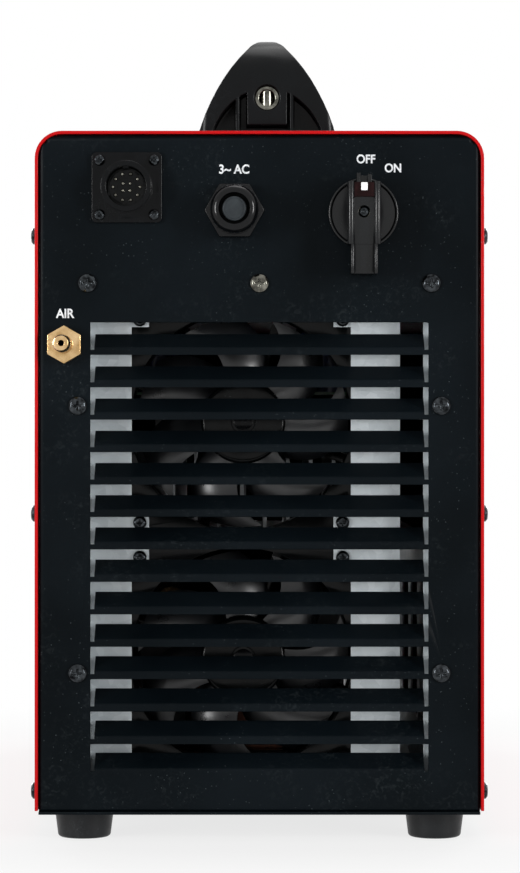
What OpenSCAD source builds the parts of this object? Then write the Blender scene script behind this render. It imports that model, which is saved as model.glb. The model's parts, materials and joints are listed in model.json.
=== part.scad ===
// Plasma cutter power unit, rear panel towards -Y, control front towards +Y, standing on z = 0.
// The origin is on the floor, under the middle of the bounding box of the unit.

/* [Body] */
// Width over the painted cover
body_w = 230; // [228:1:240]
// Length of the painted cover, rear edge to front edge
body_l = 500; // [490:5:540]
// Height of the control bay, from the shelf over the fans to the top of the cover
bay_h = 86; // [84:1:96]
// Thickness of the cover sheet
cover_t = 1.6; // [1.2:0.1:2]
// Outer radius of the two long top bends of the cover
cover_r = 14; // [12:1:18]
// Height of the cover's lower edge above the underside of the tray
cover_lift = 2; // [1.6:0.1:4]
// Thickness of the two end panels
panel_t = 1.2; // [1:0.1:1.5]
// Depth of the flange bent round each end panel
flange_d = 14; // [12:1:16]
// Outer radius of the bend between the face of a panel and its flange
bend_r = 3; // [2:0.5:4]
// Distance of each panel's face inside the edge of the cover
panel_inset = 0.8; // [0.4:0.1:2]
// Thickness of the base tray
tray_t = 1.5; // [1.2:0.1:2]
// Height of the side flanges of the base tray
tray_flange_h = 25; // [22:1:30]
// Gap between the cover and what it closes over
seat_gap = 0.3; // [0.2:0.05:0.5]
// Gap between the side flanges of the tray and the flanges of the panels
tray_gap = 1; // [0.5:0.5:3]

/* [Rear louvres] */
// Number of louvre rows
louvre_count = 14; // [10:1:14]
// Height from one louvre row to the next
louvre_pitch = 16.6; // [16:0.1:16.8]
// Distance from the louvre cuts to the sides of the cover
louvre_side = 28.5; // [28:0.5:32]
// Height of each louvre cut, which is the length of its flap
louvre_cut_h = 14; // [10:0.1:14.4]
// Angle that each flap is bent inwards from the plane of the panel
louvre_angle = 58; // [35:1:60]
// Gap cut away at each end of a flap
louvre_kerf = 2; // [1:0.1:3]
// Inner radius of the bend at the foot of a flap
louvre_bend_r = 0.8; // [0.5:0.1:1.5]
// Distance from the top of the cover to the upper edge of the first louvre cut
louvre_drop = 98; // [97:1:102]

/* [Fans] */
// Side of the square fan frame
fan_w = 120; // [118:0.5:122]
// Depth of the fan frame
fan_d = 38; // [36:1:40]
// Distance from the sides of a fan to its fixing holes
fan_hole_inset = 7.5; // [7:0.1:8]
// Diameter of the fixing holes in the fan frame
fan_hole_d = 4.4; // [4.2:0.1:5]
// Width left between the duct and each side of the fan frame
fan_duct_side = 2.5; // [2:0.1:3]
// Thickness of the square flanges at both ends of a fan frame
fan_flange_t = 4; // [3:0.5:5]
// Gap between the tips of the blades and the duct
fan_tip_gap = 1.5; // [1:0.1:2]
// Outer diameter of the rotor hub
hub_d = 44; // [40:1:48]
// Number of fan blades
blade_count = 7; // [5:1:9]
// Chord of a fan blade
blade_chord = 27; // [22:1:28]
// Angle of a fan blade from the plane in which it turns
blade_pitch = 34; // [26:1:38]
// Thickness of a fan blade
blade_t = 1.8; // [1.4:0.1:2.4]
// Radius of the curve of a fan blade across its chord
blade_camber_r = 38; // [30:1:60]
// Diameter of the steel shaft of a fan
fan_shaft_d = 4; // [3:0.5:5]
// Running gap round a turning shaft
shaft_gap = 0.05; // [0.03:0.01:0.08]
// Sideways place of both fans from the middle of the unit
fan_x = -9.4; // [-12:0.1:-4]
// Height of the lower fan above the tray
fan_floor_gap = 17; // [14:0.5:20]
// Gap between the two fans
fan_gap = 3; // [2:0.5:5]
// Gap between the upper fan and the shelf over it
shelf_gap = 2.5; // [2:0.5:5]
// Overlap of the fan plate over each side of a fan
fan_cover = 3.25; // [2.75:0.25:5]
// Width of the corner tabs that hold the fan screws
fan_tab_w = 9; // [8.5:0.1:11]
// Height of the corner tabs that hold the fan screws
fan_tab_h = 8; // [7.6:0.1:10]
// Thickness of the fan plate
fan_plate_t = 1.2; // [1:0.1:1.6]
// Distance from the face of the rear panel to the fan plate
fan_plate_set = 18; // [16:0.5:22]
// Distance from the two bends of the fan plate to the sides of the cover
fan_plate_side = 27; // [26:0.5:27]
// Distance from the brims of the fan plate to the sides of the cover
fan_brim_side = 15; // [14:0.5:16]
// Width of the cable slot in the fan plate
plate_slot_w = 12; // [8:0.5:14]
// Width of the strip between the cable slot and the bend beside it
plate_slot_edge = 3.2; // [2:0.1:5]

/* [Control socket] */
// Distance from the control socket to the nearer side of the cover
socket_side = 47.2; // [46:0.1:55]
// Distance from the top of the cover to the middle of the control socket
socket_drop = 29.1; // [27:0.1:32]
// Side of the square flange of the socket
socket_flange_w = 36; // [35:0.5:37]
// Thickness of the square flange of the socket
socket_flange_t = 2.2; // [1.8:0.1:3]
// Distance between the socket's screws, along each side
socket_hole_pitch = 28; // [27:0.5:29]
// Outer diameter of the socket shell
socket_shell_d = 26; // [25:0.5:27]
// Bore of the socket shell
socket_bore_d = 20.3; // [19:0.1:21]
// Distance that the shell stands out from the panel
socket_shell_h = 12; // [10:0.5:15]
// Depth of the open part of the socket
socket_depth = 8; // [7:0.5:9]
// Diameter of one contact of the socket
contact_d = 1.6; // [1.4:0.1:2]
// Head diameter of the socket's screws
socket_screw_head_d = 5.5; // [5:0.1:6]
// Shank diameter of the socket's screws
socket_screw_d = 3; // [2.5:0.1:3.5]

/* [Cable gland] */
// Sideways place of the cable gland
gland_x = -12.7; // [-16:0.1:-8]
// Distance from the top of the cover to the middle of the cable gland
gland_drop = 41; // [38:0.5:44]
// Width across the flats of the gland's hexagon
gland_af = 27; // [26:0.5:28]
// Thickness of the gland's hexagon
gland_hex_t = 6; // [5:0.5:8]
// Diameter of the gland's thread
gland_thread_d = 22.5; // [21.5:0.1:23]
// Outer diameter of the dome nut
gland_dome_d = 24.6; // [24:0.1:25.5]
// Length of the dome nut
gland_dome_l = 14; // [12:0.5:16]
// Mouth of the dome nut
gland_mouth_d = 16; // [15:0.1:17]

/* [Power switch] */
// Distance from the power switch to the nearer side of the cover
switch_side = 62; // [57:0.5:67]
// Distance from the top of the cover to the middle of the power switch
switch_drop = 42.6; // [40.5:0.1:43]
// Diameter of the round skirt of the knob
knob_disc_d = 36.6; // [35:0.1:38]
// Thickness of the round skirt of the knob
knob_disc_t = 8; // [7:0.5:10]
// Width of the knob's bar across the skirt
knob_bar_w = 16.7; // [15:0.1:18]
// Width of the long end of the knob's bar
knob_tail_w = 13.7; // [13.2:0.1:14.5]
// Reach of the knob's bar above the shaft
knob_bar_up = 15.2; // [15:0.1:17]
// Reach of the knob's bar below the shaft
knob_bar_down = 31.5; // [30:0.5:36]
// Height of the knob above its back
knob_h = 20; // [18:0.5:24]
// Width of the channel along the knob
knob_channel_w = 10; // [9:0.1:11]
// Depth of the channel along the knob
knob_channel_d = 3; // [2:0.1:4]
// Gap between the knob and the panel
knob_gap = 0.8; // [0.5:0.1:1.5]
// Diameter of the switch shaft
switch_shaft_d = 6; // [5:0.5:7]

/* [Air inlet] */
// Distance from the air inlet to the nearer side of the cover
inlet_side = 15.4; // [15:0.1:16]
// Distance from the top of the cover to the air inlet
inlet_drop = 109.5; // [106:0.5:112]
// Width across the flats of the inlet's hexagon
inlet_af = 17; // [16:0.5:17.5]
// Thickness of the inlet's hexagon
inlet_hex_t = 7; // [6:0.5:9]
// Diameter of the inlet's thread
inlet_thread_d = 10; // [9:0.1:11]
// Outer diameter of the hose tail
tail_d = 9; // [8:0.5:10]
// Length of the hose tail outside the hexagon
tail_l = 22; // [18:1:26]
// Length of the barbed end of the hose tail
tail_barb_l = 9.6; // [8:0.1:9.8]
// Depth of the grooves between the barbs
tail_groove = 0.8; // [0.4:0.1:1]
// Bore through the air inlet
inlet_bore_d = 3; // [2.4:0.1:4]
// Outer diameter of the air hoses inside
hose_d = 10; // [9.5:0.1:10.5]
// Bore of the air hoses inside
hose_bore_d = 6; // [5.5:0.1:6.5]
// Radius of the bends of the air hose
hose_bend_r = 16; // [14:1:18]

/* [Handle] */
// Length of the handle
handle_l = 420; // [400:5:440]
// Height of the handle above the cover
handle_h = 54; // [52:1:56]
// Width of the handle at its foot
handle_w = 74; // [70:1:76]
// Outward bulge of the sloping sides of the handle
handle_bulge = 3.2; // [1:0.1:3.5]
// Radius of the rounded ridge of the handle
handle_top_r = 12; // [9:0.5:12.5]
// Radius of the handle's ends, seen from the side
handle_end_r = 26; // [20:1:28]
// Radius of the handle's corners, seen from above
handle_plan_r = 6; // [4:1:8]
// Length of the hand gap
grip_gap_l = 290; // [260:5:300]
// Height of the hand gap
grip_gap_h = 29; // [28:0.5:31]
// Sideways place of the handle
handle_x = 4; // [0:0.5:5]
// Depth of the pocket moulded into each end of the handle
handle_pocket_d = 12; // [8:1:14]
// Wall of the handle beside the pocket
handle_wall = 8; // [7:0.5:9]
// Outer diameter of the steel bush in each end
bush_d = 13; // [12:0.5:14]
// Play between the bush and the handle, across
bush_play = 0.2; // [0.1:0.05:0.4]
// Bore of the steel bush
bush_bore_d = 8.4; // [8:0.1:9]
// Height of the bush above the cover
bush_z = 21.5; // [20.5:0.5:22.5]

/* [Feet] */
// Height of the rubber feet
foot_h = 14; // [12:1:18]
// Diameter of a foot where it meets the tray
foot_top_d = 31.5; // [30:0.5:34]
// Diameter of a foot on the floor
foot_low_d = 27.5; // [25:0.5:29]
// Diameter of the recess for the screw under a foot
foot_recess_d = 12; // [11:0.5:14]
// Depth of the recess for the screw under a foot
foot_recess_h = 4; // [3:0.5:5]
// Play of a foot's screw in the foot and in the tray, across
foot_play = 1; // [0.6:0.1:1.5]
// Distance from the feet to the sides of the cover
foot_side = 24; // [22:0.5:29]
// Distance from the feet to the nearer end of the cover
foot_end = 26; // [24:1:40]

/* [Screws] */
// Head diameter of the panel screws
panel_head_d = 9.5; // [8.5:0.1:10]
// Head diameter of the cover screws
cover_head_d = 8.5; // [8:0.1:9.5]
// Height of the screw heads
head_h = 2.2; // [1.8:0.1:2.6]
// Shank diameter of the body screws
screw_d = 4; // [3.5:0.1:4.4]
// Play between a screw's shank and the hole that it is screwed into, across
thread_gap = 0.1; // [0.06:0.02:0.2]
// Play of a screw in a clear hole, across
clear_gap = 0.4; // [0.3:0.05:0.8]
// Length of the panel screws
panel_screw_l = 8; // [6:0.5:12]
// Length of the cover screws
cover_screw_l = 9; // [7:0.5:12]
// Distance from the two upper panel screws to the sides of the cover
upper_screw_side = 27; // [25:0.5:31]
// Distance from the four lower panel screws to the sides of the cover
lower_screw_side = 22; // [20:0.5:23]
// Distance from the upper row to the middle row of panel screws
mid_screw_step = 62.7; // [60:0.1:66]
// Height of the lowest row of panel screws above the underside of the tray
low_screw_z = 72.5; // [68:0.5:80]
// Distance from the top of the cover to its upper side screws
side_screw_top = 53.5; // [50:0.5:60]
// Height of the cover's lowest side screws above the underside of the tray
side_screw_low = 11.6; // [10:0.1:16]

/* [Front panel] */
// Width of the display window
display_w = 70; // [60:1:76]
// Height of the display window
display_h = 32; // [28:1:34]
// Distance from the top of the cover to the middle of the display
display_drop = 38; // [36:0.5:40]
// Distance between the lamps
lamp_pitch = 17; // [15:0.5:18]
// Diameter of a lamp
lamp_d = 8; // [6:0.5:10]
// Diameter of the current knob
dial_d = 40; // [36:1:44]
// Height of the current knob
dial_h = 18; // [15:1:22]
// Distance from the top of the cover to the current knob
dial_drop = 122; // [118:1:126]
// Distance from the lamps, the mode rocker and the test button to the sides of the cover
pair_side = 53; // [49:1:57]
// Diameter of the test button
button_d = 14; // [12:0.5:16]
// Travel of the test button
button_travel = 3; // [2:0.5:3.5]
// Angle of the mode rocker to each side
rocker_tilt = 8; // [6:0.5:9]
// Distance from the two output connectors to the sides of the cover
outlet_side = 55; // [51:1:59]
// Height of the output connectors above the underside of the tray
outlet_z = 82; // [78:1:88]
// Bore of the earth socket
earth_bore_d = 13; // [12.5:0.1:13.5]
// Thickness of the insulating flanges under the output connectors
outlet_flange_t = 6; // [5:0.5:8]
// Thickness of the hexagon of the torch connector
torch_hex_t = 8; // [6:0.5:10]
// Diameter of the torch connector's thread
torch_thread_d = 16; // [15:0.1:17]
// Length of the torch connector's thread
torch_thread_l = 15; // [12:0.5:18]
// Bore of the torch connector
torch_bore_d = 8; // [6:0.1:10]

/* [Inside] */
// Height of the mid deck above the underside of the tray
deck_z = 139; // [138:0.5:141]
// Distance from the mid deck to the sides of the cover
deck_side = 23; // [22.5:0.5:25]
// Thickness of the inner sheet parts
inner_t = 1.2; // [1:0.1:1.5]
// Half of the width that the heat sink leaves free on the deck
sink_margin = 17; // [14:1:22]
// Length of the finned heat sink
sink_l = 260; // [240:5:270]
// Gap between the bus capacitors and the shelf over them
cap_clear = 8.4; // [7:0.2:12]
// Thickness of a fin
fin_t = 2; // [1.6:0.1:2.4]
// Number of fins
fin_count = 13; // [9:1:15]
// Thickness of the base of the heat sink
sink_base_t = 6; // [5:0.5:7]
// Thickness of the circuit boards
board_t = 1.6; // [1.2:0.1:2]
// Height of the power modules
module_h = 17; // [15:0.5:18]
// Diameter of the bus capacitors
cap_d = 35; // [30:1:35]
// Height of the bus capacitors
cap_h = 38; // [34:1:40]

/* [Hidden] */
$fn = 48;

// Cutters reach this far past the faces that they open
cut = 1;
// Pieces of one part that only touch sink this far into each other
bite = 0.1;
// Moulded and pressed-in pieces have this play, across
fit_gap = 0.1;

// Heights of the body, stacked from the tray over the two fans and the control bay
z_low = foot_h;
z_floor = z_low + tray_t;
fan_low_z = z_floor + fan_floor_gap + fan_w / 2;
fan_zs = [fan_low_z, fan_low_z + fan_w + fan_gap];
shelf_z = fan_zs[1] + fan_w / 2 + shelf_gap;
z_top = shelf_z + bay_h;
// Faces of the end panels, outside and inside
y_rear = -(body_l / 2 - panel_inset);
y_rear_in = y_rear + panel_t;
y_front = body_l / 2 - panel_inset;
y_front_in = y_front - panel_t;
// Outline of the end panels
panel_w = body_w - 2 * (cover_t + seat_gap);
panel_h = z_top - cover_t - seat_gap - z_floor;
panel_r = cover_r - cover_t - seat_gap;
louvre_w = body_w - 2 * louvre_side;
// Side screws of the cover: along the unit in the middle of the panels' flanges, and in three heights
side_screw_y = y_front - flange_d / 2;
side_screw_zs = [
  z_low + side_screw_low,
  (z_low + side_screw_low + z_top - side_screw_top) / 2,
  z_top - side_screw_top
];
// Panel screws, whose upper row holds the flanges of the shelf
shelf_flange_h = 16;
upper_screw_z = shelf_z + shelf_flange_h / 2;
mid_screw_z = upper_screw_z - mid_screw_step;
upper_screw_x = body_w / 2 - upper_screw_side;
lower_screw_x = body_w / 2 - lower_screw_side;
// Handle: room for its inner screws, floor of its pockets and depth of its bushes
handle_inner_in = 14;
handle_screw_l = 14;
pocket_floor = 2.5;
bush_depth = 30;
// Feet
foot_x = body_w / 2 - foot_side;
// Fans and the plate that carries them
fan_hole_pitch = fan_w - 2 * fan_hole_inset;
fan_duct_d = fan_w - 2 * fan_duct_side;
fan_tip_d = fan_duct_d - 2 * fan_tip_gap;
fan_window = fan_w - 2 * fan_cover;
fan_plate_y = y_rear + fan_plate_set;
fan_plate_x = body_w / 2 - fan_plate_side;
fan_brim_x = body_w / 2 - fan_brim_side;
fan_y = fan_plate_y + fan_plate_t;
// Rear fittings
socket_x = socket_side - body_w / 2;
socket_z = z_top - socket_drop;
socket_rear_l = 14;
gland_z = z_top - gland_drop;
gland_neck_d = gland_thread_d - 2;
gland_neck_l = 6;
switch_x = body_w / 2 - switch_side;
switch_z = z_top - switch_drop;
switch_hole_d = 12;
inlet_x = inlet_side - body_w / 2;
inlet_z = z_top - inlet_drop;
// Contacts of the control socket, in rings: number, radius, turn of the first
contact_rings = [[4, 2.6, 45], [10, 7, 0]];
// Knob of the power switch: depth of its screw's seat, play of the screw, end of the shaft and its white mark
knob_seat = 6;
knob_screw_d = 3;
knob_screw_head_d = 5.6;
knob_shaft_end = 8;
mark_w = 3.3;
mark_h = 4;
mark_z = 12.5;
mark_deep = 1.2;
mark_play = 0.2;
// Air path: the spigots that the hoses sit on, the valve, and the turn of the long hose
spigot_d = hose_bore_d - 0.2;
hose_stub = 12;
hose_rear_y = y_rear_in + 8;
valve_y = y_rear_in + 44;
valve_l = 34;
valve_w = 20;
valve_h = 22;
torch_tail_y = y_front_in - 26;
hose_turn_y = torch_tail_y - hose_bend_r;
// Mid deck, from behind the fans to the room left behind the front panel
deck_gap = 4;
deck_front_room = 96;
deck_x = body_w / 2 - deck_side;
deck_top = z_low + deck_z;
deck_rear = fan_y + fan_d + deck_gap;
deck_l = y_front_in - deck_front_room - deck_rear;
// Heat sink, modules, board and capacitors, stacked on the deck up to the shelf
terminal_h = 4;
sink_x = fan_x;
sink_y = deck_rear + 16;
sink_w = 2 * (deck_x - sink_margin);
fin_h = shelf_z - cap_clear - cap_h - board_t - terminal_h - module_h - sink_base_t - deck_top;
sink_top = deck_top + fin_h + sink_base_t;
board_z = sink_top + module_h + terminal_h;
module_w = 94;
module_l = 34;
module_end = 12;
// Transformer, reactor and rectifier, one behind the other on the tray
core_y = deck_rear + 26;
core_l = 60;
core_leg = 24;
core_window = 19;
core_window_h = 48;
reactor_gap = 34;
reactor_d = 96;
reactor_y = core_y + core_l + reactor_gap + reactor_d / 2;
rectifier_gap = 12;
rectifier_y = reactor_y + reactor_d / 2 + rectifier_gap;
rectifier_w = sink_w - 20;
rectifier_l = 90;
rectifier_fins = 11;
rectifier_fin_h = 45;
rectifier_end = 8;
// Control board, on standoffs over the shelf
control_y = y_rear_in + 95;
control_l = 300;
control_w = body_w - 60;
standoff_h = 8;
// Front fittings
display_z = z_top - display_drop;
display_lip = 2;
display_play = 0.2;
dial_z = z_top - dial_drop;
dial_gap = 0.8;
dial_shaft_d = 6;
dial_shaft_l = 11;
dial_bush_d = 9;
pair_x = body_w / 2 - pair_side;
lamp_x = -pair_x;
rocker_w = 13;
rocker_h = 21;
rocker_pivot_y = -3;
rocker_pin_d = 2;
frame_rim = 4;
frame_play = 0.4;
button_play = 0.3;
button_well = 16;
button_out = 2.5;
outlet_x = body_w / 2 - outlet_side;
outlet_zz = z_low + outlet_z;
outlet_flange_w = 44;
outlet_neck_d = 26;
outlet_body_d = 20;
outlet_play = 0.2;

// ---------- shared shapes ----------

// Rectangle with round corners, centred on the origin
module round_rect(w, h, r) {
  square([w - 2 * r, h], center = true);
  square([w, h - 2 * r], center = true);
  for (sx = [-1, 1], sy = [-1, 1])
    translate([sx * (w / 2 - r), sy * (h / 2 - r)]) circle(r = r);
}

// Rectangle from y = 0 up to h, centred in x, with its two upper corners round
module round_top_rect(w, h, r) {
  translate([-w / 2, 0]) square([w, h - r]);
  translate([-w / 2 + r, 0]) square([w - 2 * r, h]);
  for (s = [-1, 1]) translate([s * (w / 2 - r), h - r]) circle(r = r);
}

// Turns a shape drawn upwards so that its height runs along +Y
module along_y() rotate([-90, 0, 0]) children();

// Turns a flat drawing to stand in the XZ plane, extruded from y = 0 towards +Y
module stand(depth) translate([0, depth, 0]) rotate([90, 0, 0]) linear_extrude(depth) children();

// Box with the given low corner and size
module block(low, size) translate(low) cube(size);

// Box centred in x and z on a point, from y1 to y2
module block_y(x, z, w, h, y1, y2) translate([x - w / 2, y1, z - h / 2]) cube([w, y2 - y1, h]);

// Four copies at the corners of a square with sides p that stands in the XZ plane
module four(p) for (sx = [-1, 1], sz = [-1, 1]) translate([sx * p / 2, 0, sz * p / 2]) children();

// Cylinder along Y from y1 to y2
module rod_y(x, z, d, y1, y2) translate([x, y1, z]) along_y() cylinder(d = d, h = y2 - y1);

// Sheet strip along a line of points, drawn flat, t thick
module strip(points, t) {
  for (i = [0:len(points) - 2]) {
    run = points[i + 1] - points[i];
    translate(points[i]) rotate(atan2(run.y, run.x)) translate([0, -t / 2]) square([norm(run), t]);
    if (i > 0) translate(points[i]) circle(d = t);
  }
}

// Solid envelope of a bent pan: face at y = 0, flanges towards +Y, bottom edge at z = 0
module pan_block(w, h, d, r, bend) {
  intersection() {
    stand(d) round_top_rect(w, h, r);
    translate([-w / 2, 0, 0]) rotate([90, 0, 90]) linear_extrude(w) {
      translate([bend, 0]) square([d - bend, h]);
      translate([0, bend]) square([d, h - 2 * bend]);
      for (z = [bend, h - bend]) translate([bend, z]) circle(r = bend);
    }
    linear_extrude(h) {
      translate([-w / 2, bend]) square([w, d - bend]);
      translate([-w / 2 + bend, 0]) square([w - 2 * bend, d]);
      for (s = [-1, 1]) translate([s * (w / 2 - bend), bend]) circle(r = bend);
    }
  }
}

// Bent pan with walls t thick
module pan(w, h, d, r, bend, t) {
  difference() {
    pan_block(w, h, d, r, bend);
    translate([0, t, t]) pan_block(w - 2 * t, h - 2 * t, d + cut, r - t, bend - t);
  }
}

// Pan-head screw along -Y: the back of its head at the origin, shank towards +Y
module screw_y(head_d, h, shank_d, l) {
  slot = [head_d * 0.48, head_d * 0.11];
  along_y() difference() {
    union() {
      translate([0, 0, -h * 0.55]) cylinder(d = head_d, h = h * 0.55);
      translate([0, 0, -h]) cylinder(d1 = head_d * 0.72, d2 = head_d, h = h * 0.45);
      cylinder(d = shank_d, h = l);
    }
    for (a = [0, 90]) rotate(a)
      translate([-slot.x / 2, -slot.y / 2, -h - cut]) cube([slot.x, slot.y, cut + h * 0.6]);
  }
}

// Hexagon across flats af, drawn flat, with corners along its first axis
module hexagon(af) circle(d = af / cos(30), $fn = 6);

// ---------- body ----------

module cover_shell() {
  h = z_top - z_low - cover_lift;
  hole_d = screw_d + clear_gap;
  color("firebrick") difference() {
    translate([0, -body_l / 2, z_low + cover_lift]) difference() {
      stand(body_l) round_top_rect(body_w, h, cover_r);
      translate([0, -cut, -cut])
        stand(body_l + 2 * cut) round_top_rect(body_w - 2 * cover_t, h - cover_t + cut, cover_r - cover_t);
    }
    side_screw_places() rotate([0, 90, 0]) cylinder(d = hole_d, h = 4 * cover_t, center = true);
    handle_outer_places() cylinder(d = hole_d, h = 4 * cover_t, center = true);
    handle_inner_places() cylinder(d = hole_d, h = 4 * cover_t, center = true);
  }
}

// Every place of a cover screw, on the outer face of the cover, with +X outwards
module side_screw_places() {
  for (s = [0, 180], y = [-side_screw_y, side_screw_y], z = side_screw_zs)
    rotate(s) translate([body_w / 2, y, z]) children();
}

module cover_screws() {
  color("black") side_screw_places() rotate([0, 0, 90])
    screw_y(cover_head_d, head_h, screw_d, cover_screw_l);
}

module foot_places() {
  for (x = [-foot_x, foot_x], y = [-1, 1]) translate([x, y * (body_l / 2 - foot_end), 0]) children();
}

module base_tray() {
  flange_x = body_w / 2 - cover_t - seat_gap;
  flange_l = body_l - 2 * (panel_inset + flange_d + tray_gap);
  color("dimgray") difference() {
    union() {
      block([-flange_x, y_rear, z_low], [2 * flange_x, y_front - y_rear, tray_t]);
      for (s = [0, 180]) rotate(s)
        block([flange_x - tray_t, -flange_l / 2, z_low], [tray_t, flange_l, tray_flange_h]);
    }
    foot_places() translate([0, 0, z_low - cut]) cylinder(d = screw_d + foot_play, h = tray_t + 2 * cut);
  }
}

module feet() {
  color("black") foot_places() difference() {
    cylinder(d1 = foot_low_d, d2 = foot_top_d, h = foot_h);
    translate([0, 0, -cut]) cylinder(d = foot_recess_d, h = foot_recess_h + cut);
    cylinder(d = screw_d + foot_play, h = foot_h + cut);
  }
}

module foot_screws() {
  head_l = 2.6;
  tip_l = 6;
  nut_af = 8;
  nut_h = 3.2;
  color("silver") foot_places() {
    translate([0, 0, foot_recess_h - head_l]) cylinder(d = panel_head_d, h = head_l);
    translate([0, 0, foot_recess_h - bite]) cylinder(d = screw_d, h = z_floor + tip_l - foot_recess_h);
    translate([0, 0, z_floor]) difference() {
      linear_extrude(nut_h) hexagon(nut_af);
      translate([0, 0, -cut]) cylinder(d = screw_d + thread_gap, h = nut_h + 2 * cut);
    }
  }
}

// ---------- handle ----------

// Screws in the end pockets, put in from above
module handle_outer_places() {
  for (s = [-1, 1]) translate([handle_x, s * (handle_l - handle_pocket_d) / 2, z_top]) children();
}

// Screws beside the hand gap, put in from below
module handle_inner_places() {
  for (s = [-1, 1]) translate([handle_x, s * (grip_gap_l / 2 + handle_inner_in), z_top]) children();
}

// Cross-section of the handle: a rounded ridge over sides that bulge by handle_bulge
module handle_section(half_w, ridge_r, h, bulge) {
  c = h - ridge_r;
  a = 32;
  n = 8;
  foot = [half_w, 0];
  shoulder = [ridge_r * cos(a), c + ridge_r * sin(a)];
  out = [shoulder.y - foot.y, foot.x - shoulder.x] / norm(shoulder - foot);
  side = [for (i = [0:n]) let (t = i / n) foot + t * (shoulder - foot) + 4 * t * (1 - t) * bulge * out];
  dome = [for (i = [1:11]) let (t = a + (180 - 2 * a) * i / 12) [ridge_r * cos(t), c + ridge_r * sin(t)]];
  polygon(concat(side, dome, [for (i = [n:-1:0]) [-side[i].x, side[i].y]]));
}

module handle_body() {
  gap_r = 9;
  pocket_h = 30;
  pocket_ridge_r = 12;
  pocket_bulge = 3;
  boss_w = 21;
  boss_z = 4.5;
  rib_t = 2;
  rib_xs = [-16.5, 12];
  color([0.09, 0.09, 0.1]) translate([handle_x, 0, z_top]) difference() {
    intersection() {
      translate([0, -handle_l / 2, 0]) stand(handle_l)
        handle_section(handle_w / 2, handle_top_r, handle_h, handle_bulge);
      // side view with rounded ends
      translate([-handle_w / 2, 0, 0]) rotate([90, 0, 90]) linear_extrude(handle_w)
        round_top_rect(handle_l, handle_h, handle_end_r);
      // plan view with rounded corners
      linear_extrude(handle_h) round_rect(handle_w, handle_l, handle_plan_r);
    }
    // hand gap
    translate([-handle_w / 2 - cut, 0, -cut]) rotate([90, 0, 90])
      linear_extrude(handle_w + 2 * cut) round_top_rect(grip_gap_l, grip_gap_h + cut, gap_r);
    for (s = [0, 180]) rotate(s) {
      // pocket in the end face, with a boss and two ribs left standing
      translate([0, -handle_l / 2 - cut, pocket_floor]) difference() {
        stand(handle_pocket_d + cut)
          handle_section(handle_w / 2 - handle_wall, pocket_ridge_r, pocket_h - pocket_floor, pocket_bulge);
        block([-boss_w / 2, 0, boss_z], [boss_w, 2 * handle_pocket_d, pocket_h]);
        for (x = rib_xs) block([x, 0, -cut], [rib_t, 2 * handle_pocket_d, pocket_h]);
      }
      rod_y(0, bush_z, bush_d + bush_play, -handle_l / 2 - cut, -handle_l / 2 + bush_depth);
    }
    translate([-handle_x, 0, -z_top]) {
      handle_outer_places() translate([0, 0, -cut])
        cylinder(d = screw_d + clear_gap, h = pocket_floor + 2 * cut);
      handle_inner_places() translate([0, 0, -cut])
        cylinder(d = screw_d + thread_gap, h = handle_screw_l - cover_t + 2 * cut);
    }
  }
}

module handle_bushes() {
  set_back = 2;
  end_t = 4;
  mouth = -handle_l / 2 + set_back;
  end = -handle_l / 2 + bush_depth;
  color("silver") for (s = [0, 180]) translate([handle_x, 0, z_top + bush_z]) rotate(s) difference() {
    rod_y(0, 0, bush_d, mouth, end);
    rod_y(0, 0, bush_bore_d, mouth - cut, end - end_t);
  }
}

module handle_screws() {
  outer_l = 12;
  color("silver") {
    handle_outer_places() translate([0, 0, pocket_floor]) rotate([-90, 0, 0])
      screw_y(panel_head_d, head_h, screw_d, outer_l);
    handle_inner_places() translate([0, 0, -cover_t]) rotate([90, 0, 0])
      screw_y(panel_head_d, head_h, screw_d, handle_screw_l);
  }
}

// ---------- rear panel ----------

// Rows of the louvres, upper edge of each cut
function louvre_z(i) = z_top - louvre_drop - i * louvre_pitch;

// Side outline of one flap, bent inwards round its foot, with z = 0 at the bend line
module flap_profile() {
  ro = louvre_bend_r + panel_t;
  root_z = -panel_t / 2;
  arc = louvre_angle * PI / 180 * (louvre_bend_r + panel_t / 2);
  run = louvre_cut_h - arc;
  steps = 6;
  tip = run * [sin(louvre_angle), cos(louvre_angle)];
  outer = [for (i = [0:steps]) let (a = louvre_angle * i / steps) [ro - ro * cos(a), ro * sin(a)]];
  inner = [for (i = [steps:-1:0]) let (a = louvre_angle * i / steps)
    [ro - louvre_bend_r * cos(a), louvre_bend_r * sin(a)]];
  polygon(concat([[0, root_z]], outer, [outer[steps] + tip, inner[0] + tip], inner, [[panel_t, root_z]]));
}

// Panel screws of the rear panel, on its face
module rear_screw_places() {
  for (s = [-1, 1]) {
    translate([s * upper_screw_x, y_rear, upper_screw_z]) children();
    translate([s * lower_screw_x, y_rear, mid_screw_z]) children();
    translate([s * lower_screw_x, y_rear, z_low + low_screw_z]) children();
  }
}

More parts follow.
